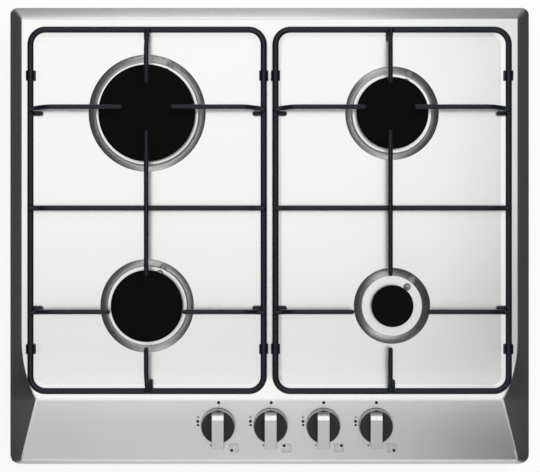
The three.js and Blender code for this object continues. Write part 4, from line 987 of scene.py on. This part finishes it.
def make_pan_support(side, side_name):
    x0 = side * GRATE_X
    line_x = FINGER_LINE_X - side * FINGER_LINE_INSET
    half_x, half_y = (GRATE_WIDTH - FRAME_WIRE) / 2, (GRATE_DEPTH - FRAME_WIRE) / 2
    shape = Shape()
    outline = rounded_box(x0, GRATE_Y, half_x, half_y, GRATE_CORNER_RADIUS - FRAME_WIRE / 2, 12)
    shape.tube([(x, y, FRAME_Z) for x, y in outline], FRAME_WIRE / 2, 20, closed=True)
    for end in (-1, 1):
        for row_y, reach, stub_shift, bow in FINGER_ROWS:
            def place(along, aside, z, end=end, row_y=row_y):
                return x0 + end * along, GRATE_Y + row_y + aside, z
            add_finger(shape, place, half_x, end * line_x + reach, stub_shift, bow)
    for end, (tip, stub_shift, bow) in ((1, REAR_FINGER), (-1, FRONT_FINGER)):
        def place(along, aside, z, end=end):
            return x0 + line_x + aside, GRATE_Y + end * along, z
        add_finger(shape, place, half_y, end * tip, stub_shift, bow)
    long_bar = (LONG_BAR[0] + FINGER_DOME, LONG_BAR[1] - FINGER_DOME)
    shape.tube([(x0 + line_x, GRATE_Y + y, FINGER_Z) for y in long_bar], FINGER_RADIUS)
    over = FRAME_Z + (FRAME_WIRE + CROSS_WIRE) / 2 - WIRE_OVERLAP
    crossing = [(half_x, over), (half_x - RISE_START, over), (half_x - RISE_END, CROSSBAR_Z)]
    bar_y = GRATE_Y + CROSSBAR_Y
    corners = [(x0 - x, bar_y, z) for x, z in crossing]
    corners += [(x0 + x, bar_y, z) for x, z in reversed(crossing)]
    shape.tube(bent(corners, 6, 6), CROSS_WIRE / 2)
    for end in (-1, 1):
        shape.bead((x0 + end * half_x, bar_y, FRAME_Z + FRAME_WIRE / 2), (3.4, 3.5, 1.5))
    shape.bead((x0 + line_x, bar_y, CROSSBAR_Z + CROSS_WIRE / 2), (2.7, 2.8, 1.2))
    support = f"pan_support_{side_name}"
    piece(f"support_wires_{side_name}", shape, ENAMEL, support, [support], sharp=70)


make_pan_support(-1, "left")
make_pan_support(1, "right")

# -------------------- knobs and printed marks

OWN_BURNER = {1: (-1, -1), 2: (-1, 1), 3: (1, 1), 4: (1, -1)}


def make_knob(number, x):
    aim = placed((x, KNOB_Y, KNOB_Z), STRIP_TILT, "X")
    body = f"knob_{number}"
    bore, bore_top, inside = 3.3, 9.3, KNOB_FACE - 2.2
    wall, rim = 1.6, 0.4
    edge = KNOB_FACE_RADIUS - rim - 0.1
    skirt = Shape()
    skirt.turned(rounded([
        (0, bore_top), (bore, bore_top), (bore, KNOB_GAP + 1), (bore + 2.7, KNOB_GAP + 1),
        (bore + 2.7, inside), (KNOB_FACE_RADIUS - wall, inside), (KNOB_FOOT_RADIUS - wall, KNOB_GAP),
        (KNOB_FOOT_RADIUS, KNOB_GAP), (KNOB_FACE_RADIUS, KNOB_FACE), (KNOB_FACE_RADIUS - rim, KNOB_FACE),
        (edge, KNOB_FACE - 0.5), (0, KNOB_FACE - 0.5),
    ], [0, 0, 0.3, 0.3, 0.5, 0.6, 0.4, 0.5, 0.5, 0.2, 0, 0], 3), 0, 0, 96, aim)
    # The skirt takes the darker grey of painted shade, not the grip's silver.
    piece(f"knob_skirt_{number}", skirt, SHADED_SKIRT, body, [body])
    disc = Shape()
    plate = [(0, KNOB_FACE - 0.6), (edge, KNOB_FACE - 0.6), (edge, KNOB_FACE - 0.05), (0, KNOB_FACE)]
    disc.turned(rounded(plate, [0, 0, 0.25, 0], 3), 0, 0, 96, aim)
    piece(f"knob_disc_{number}", disc, DISC, body)
    make_grip(number, aim, body)
    tick = Shape()
    tick.block((-1.0, KNOB_FACE_RADIUS - 0.5, KNOB_FACE - 1.0),
               (1.0, KNOB_FACE_RADIUS + 0.32, KNOB_FACE + 0.03))
    tick.move(aim)
    piece(f"knob_tick_{number}", tick, INK, body, bevel=0.15)


def make_grip(number, aim, body):
    """The bar across a knob, with its white inlay on the sloping rear facet."""
    inside, half = KNOB_FACE_RADIUS - 3.2, GRIP_WIDTH / 2
    low, high = Vector((GRIP_REAR - 3.7, KNOB_FACE + 5.0)), Vector((GRIP_REAR - 8.0, KNOB_TOP))
    side = [(GRIP_REAR, KNOB_FACE - 0.4), low, high, (-GRIP_FRONT, KNOB_TOP), (-GRIP_FRONT, KNOB_GAP + 4),
            (-inside, KNOB_GAP + 4), (-inside, KNOB_FACE - 0.4)]
    bar = Shape()
    bar.rings([[(x, y, z) for y, z in side] for x in (-half, half)])
    bar.move(aim)
    piece(f"knob_grip_{number}", bar, SILVER, body, bevel=0.35)
    along = (high - low).normalized()
    out = Vector((along.y, -along.x))
    margin, groove = 0.35, 0.14
    start, end = low + along * margin, high - along * margin
    section = [start - out * 0.3, end - out * 0.3, end + out * 0.06, start + out * 0.06]
    inlay = Shape()
    for ends in ((-half + margin, -groove), (groove, half - margin)):
        inlay.rings([[(x, y, z) for y, z in section] for x in ends])
    inlay.move(aim)
    piece(f"knob_inlay_{number}", inlay, INLAY, body, bevel=0.04)


def flame(x, y, size):
    """Small flame seen from the side."""
    spots = [(0, -0.5), (0.38, -0.42), (0.5, -0.1), (0.34, 0.22), (0.2, 0.05), (0.02, 0.6), (-0.2, 0.2),
             (-0.42, 0.1), (-0.5, -0.16), (-0.36, -0.42)]
    return rounded([(x + px * size, y + py * size) for px, py in spots], 0.25 * size, 2)


def make_marks(number, x):
    """Generic signs printed round a knob: off dot, spark, flames and the burner it belongs to."""
    # The printed marks lie on the visible skin, which is a touch steeper than the plane of the taps.
    slope = (outer_z(-200.0) - outer_z(-240.0)) / 40.0
    layer = (placed((x, KNOB_Y, outer_z(KNOB_Y)), math.atan(slope), "X"), -0.05, 0.07)
    dark, pale = Shape(), Shape()
    dark.prism(circle(0.6, 25.2, 1.75, 28), *layer)
    long, thin = 1.7, 0.26
    spots = [(long, thin), (-long, thin), (-long, -thin), (long, -thin)]
    for turn in range(3):
        angle = math.radians(60 * turn)
        cos, sin = math.cos(angle), math.sin(angle)
        pale.prism([(-22.4 + a * cos - b * sin, 9.0 + a * sin + b * cos) for a, b in spots], *layer)
    for spot in ((-22.6, 4.6, 3.9), (-22.4, 0.4, 3.2), (-8.2, -22.6, 2.0)):
        dark.prism(flame(*spot), *layer)
    sign_x, sign_y = 17.7, -25.8
    for side_x, side_y in ((-1, -1), (-1, 1), (1, -1), (1, 1)):
        cx, cy = sign_x + side_x * 2.55, sign_y + side_y * 2.55
        if OWN_BURNER[number] == (side_x, side_y):
            dark.prism(circle(cx, cy, 1.7, 24), *layer)
        else:
            pale.washer(circle(cx, cy, 1.7, 24), circle(cx, cy, 1.3, 24), *layer)
    line = 0.36
    outer = rounded_box(sign_x, sign_y, 5.2, 4.8, 1.0, 4)
    pale.washer(outer, rounded_box(sign_x, sign_y, 5.2 - line, 4.8 - line, 0.6, 4), *layer)
    piece(f"marks_dark_{number}", dark, INK, "root")
    piece(f"marks_pale_{number}", pale, PALE_INK, "root")


for knob_number, knob_x in enumerate(KNOB_XS, 1):
    make_knob(knob_number, knob_x)
    make_marks(knob_number, knob_x)

# -------------------- casing details

CASING_SIDE, CASING_FRONT, CASING_REAR = 272.0, -233.0, 218.0
GLAND_X, GLAND_Z, GLAND_RADIUS = -200.0, 20.0, 11.4


def add_screw(shape, place):
    """Flanged pan-head screw, its seat in the plane z = 0 of `place`."""
    shape.turned(rounded([
        (0, -0.4), (4.0, -0.4), (4.0, 0.5), (2.9, 0.6), (2.9, 1.6), (1.5, 2.1), (1.2, 1.0), (0, 1.0),
    ], [0, 0, 0.2, 0.2, 0.8, 0.2, 0.2, 0], 3), 0, 0, 28, place)


def make_casing_details():
    """Screws round the casing, pressed ribs in its rear wall, and the ribs of the gland's nut."""
    screws = Shape()
    for x in (-235, -80, 80, 235):
        add_screw(screws, placed((x, CASING_FRONT, 34), math.pi / 2, "X"))
    for x in (-170, -60, 60, 170):
        add_screw(screws, placed((x, CASING_REAR, 34), -math.pi / 2, "X"))
    for side in (-1, 1):
        for y in (-75, 0, 75):
            add_screw(screws, placed((side * CASING_SIDE, y, 30), side * math.pi / 2, "Y"))
    piece("casing_screws", screws, ZINC, "root")
    ribs = Shape()
    for row_z in (12, 20):
        for k in range(6):
            ribs.bead((-125 + 50 * k, CASING_REAR - 0.2, row_z), (18, 1.5, 2.2), 28, 12)
    piece("casing_ribs", ribs, GALVANISED, "root")
    nut = Shape()
    ribbed = []
    for angle in [2 * math.pi * k / 96 for k in range(96)]:
        radius = GLAND_RADIUS + 0.35 + 0.3 * math.cos(angle * 24)
        ribbed.append((radius * math.cos(angle), radius * math.sin(angle)))
    aim = placed((GLAND_X, CASING_REAR + GAP, GLAND_Z), -math.pi / 2, "X")
    nut.washer(ribbed, circle(0, 0, GLAND_RADIUS - 0.5, 96), aim, 0.8, 7.4)
    piece("gland_nut_ribs", nut, PLASTIC, "root", bevel=0.15)


make_casing_details()

# -------------------- CAD nodes that stay

LOOKS = {
    "steel": STEEL, "casing": GALVANISED, "rubber": RUBBER, "foam": FOAM, "wire": ENAMEL, "cap": CAP_ENAMEL,
    "aluminium": CAST, "brass": BRASS, "ceramic": CERAMIC, "knob": SILVER, "plastic": PLASTIC, "zinc": ZINC,
}


def dress_cad_nodes():
    bevels = {"foot_": 0.9, "worktop_clamp_": 0.4, "bottom_casing": 0.5, "ignition_module": 0.8}
    for name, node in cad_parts.items():
        slot = node.data.materials[0].name.split(".")[0]
        node.data.materials[0] = LOOKS.get(slot, ZINC)
        for start, width in bevels.items():
            if name.startswith(start):
                add_bevel(node, width)


dress_cad_nodes()
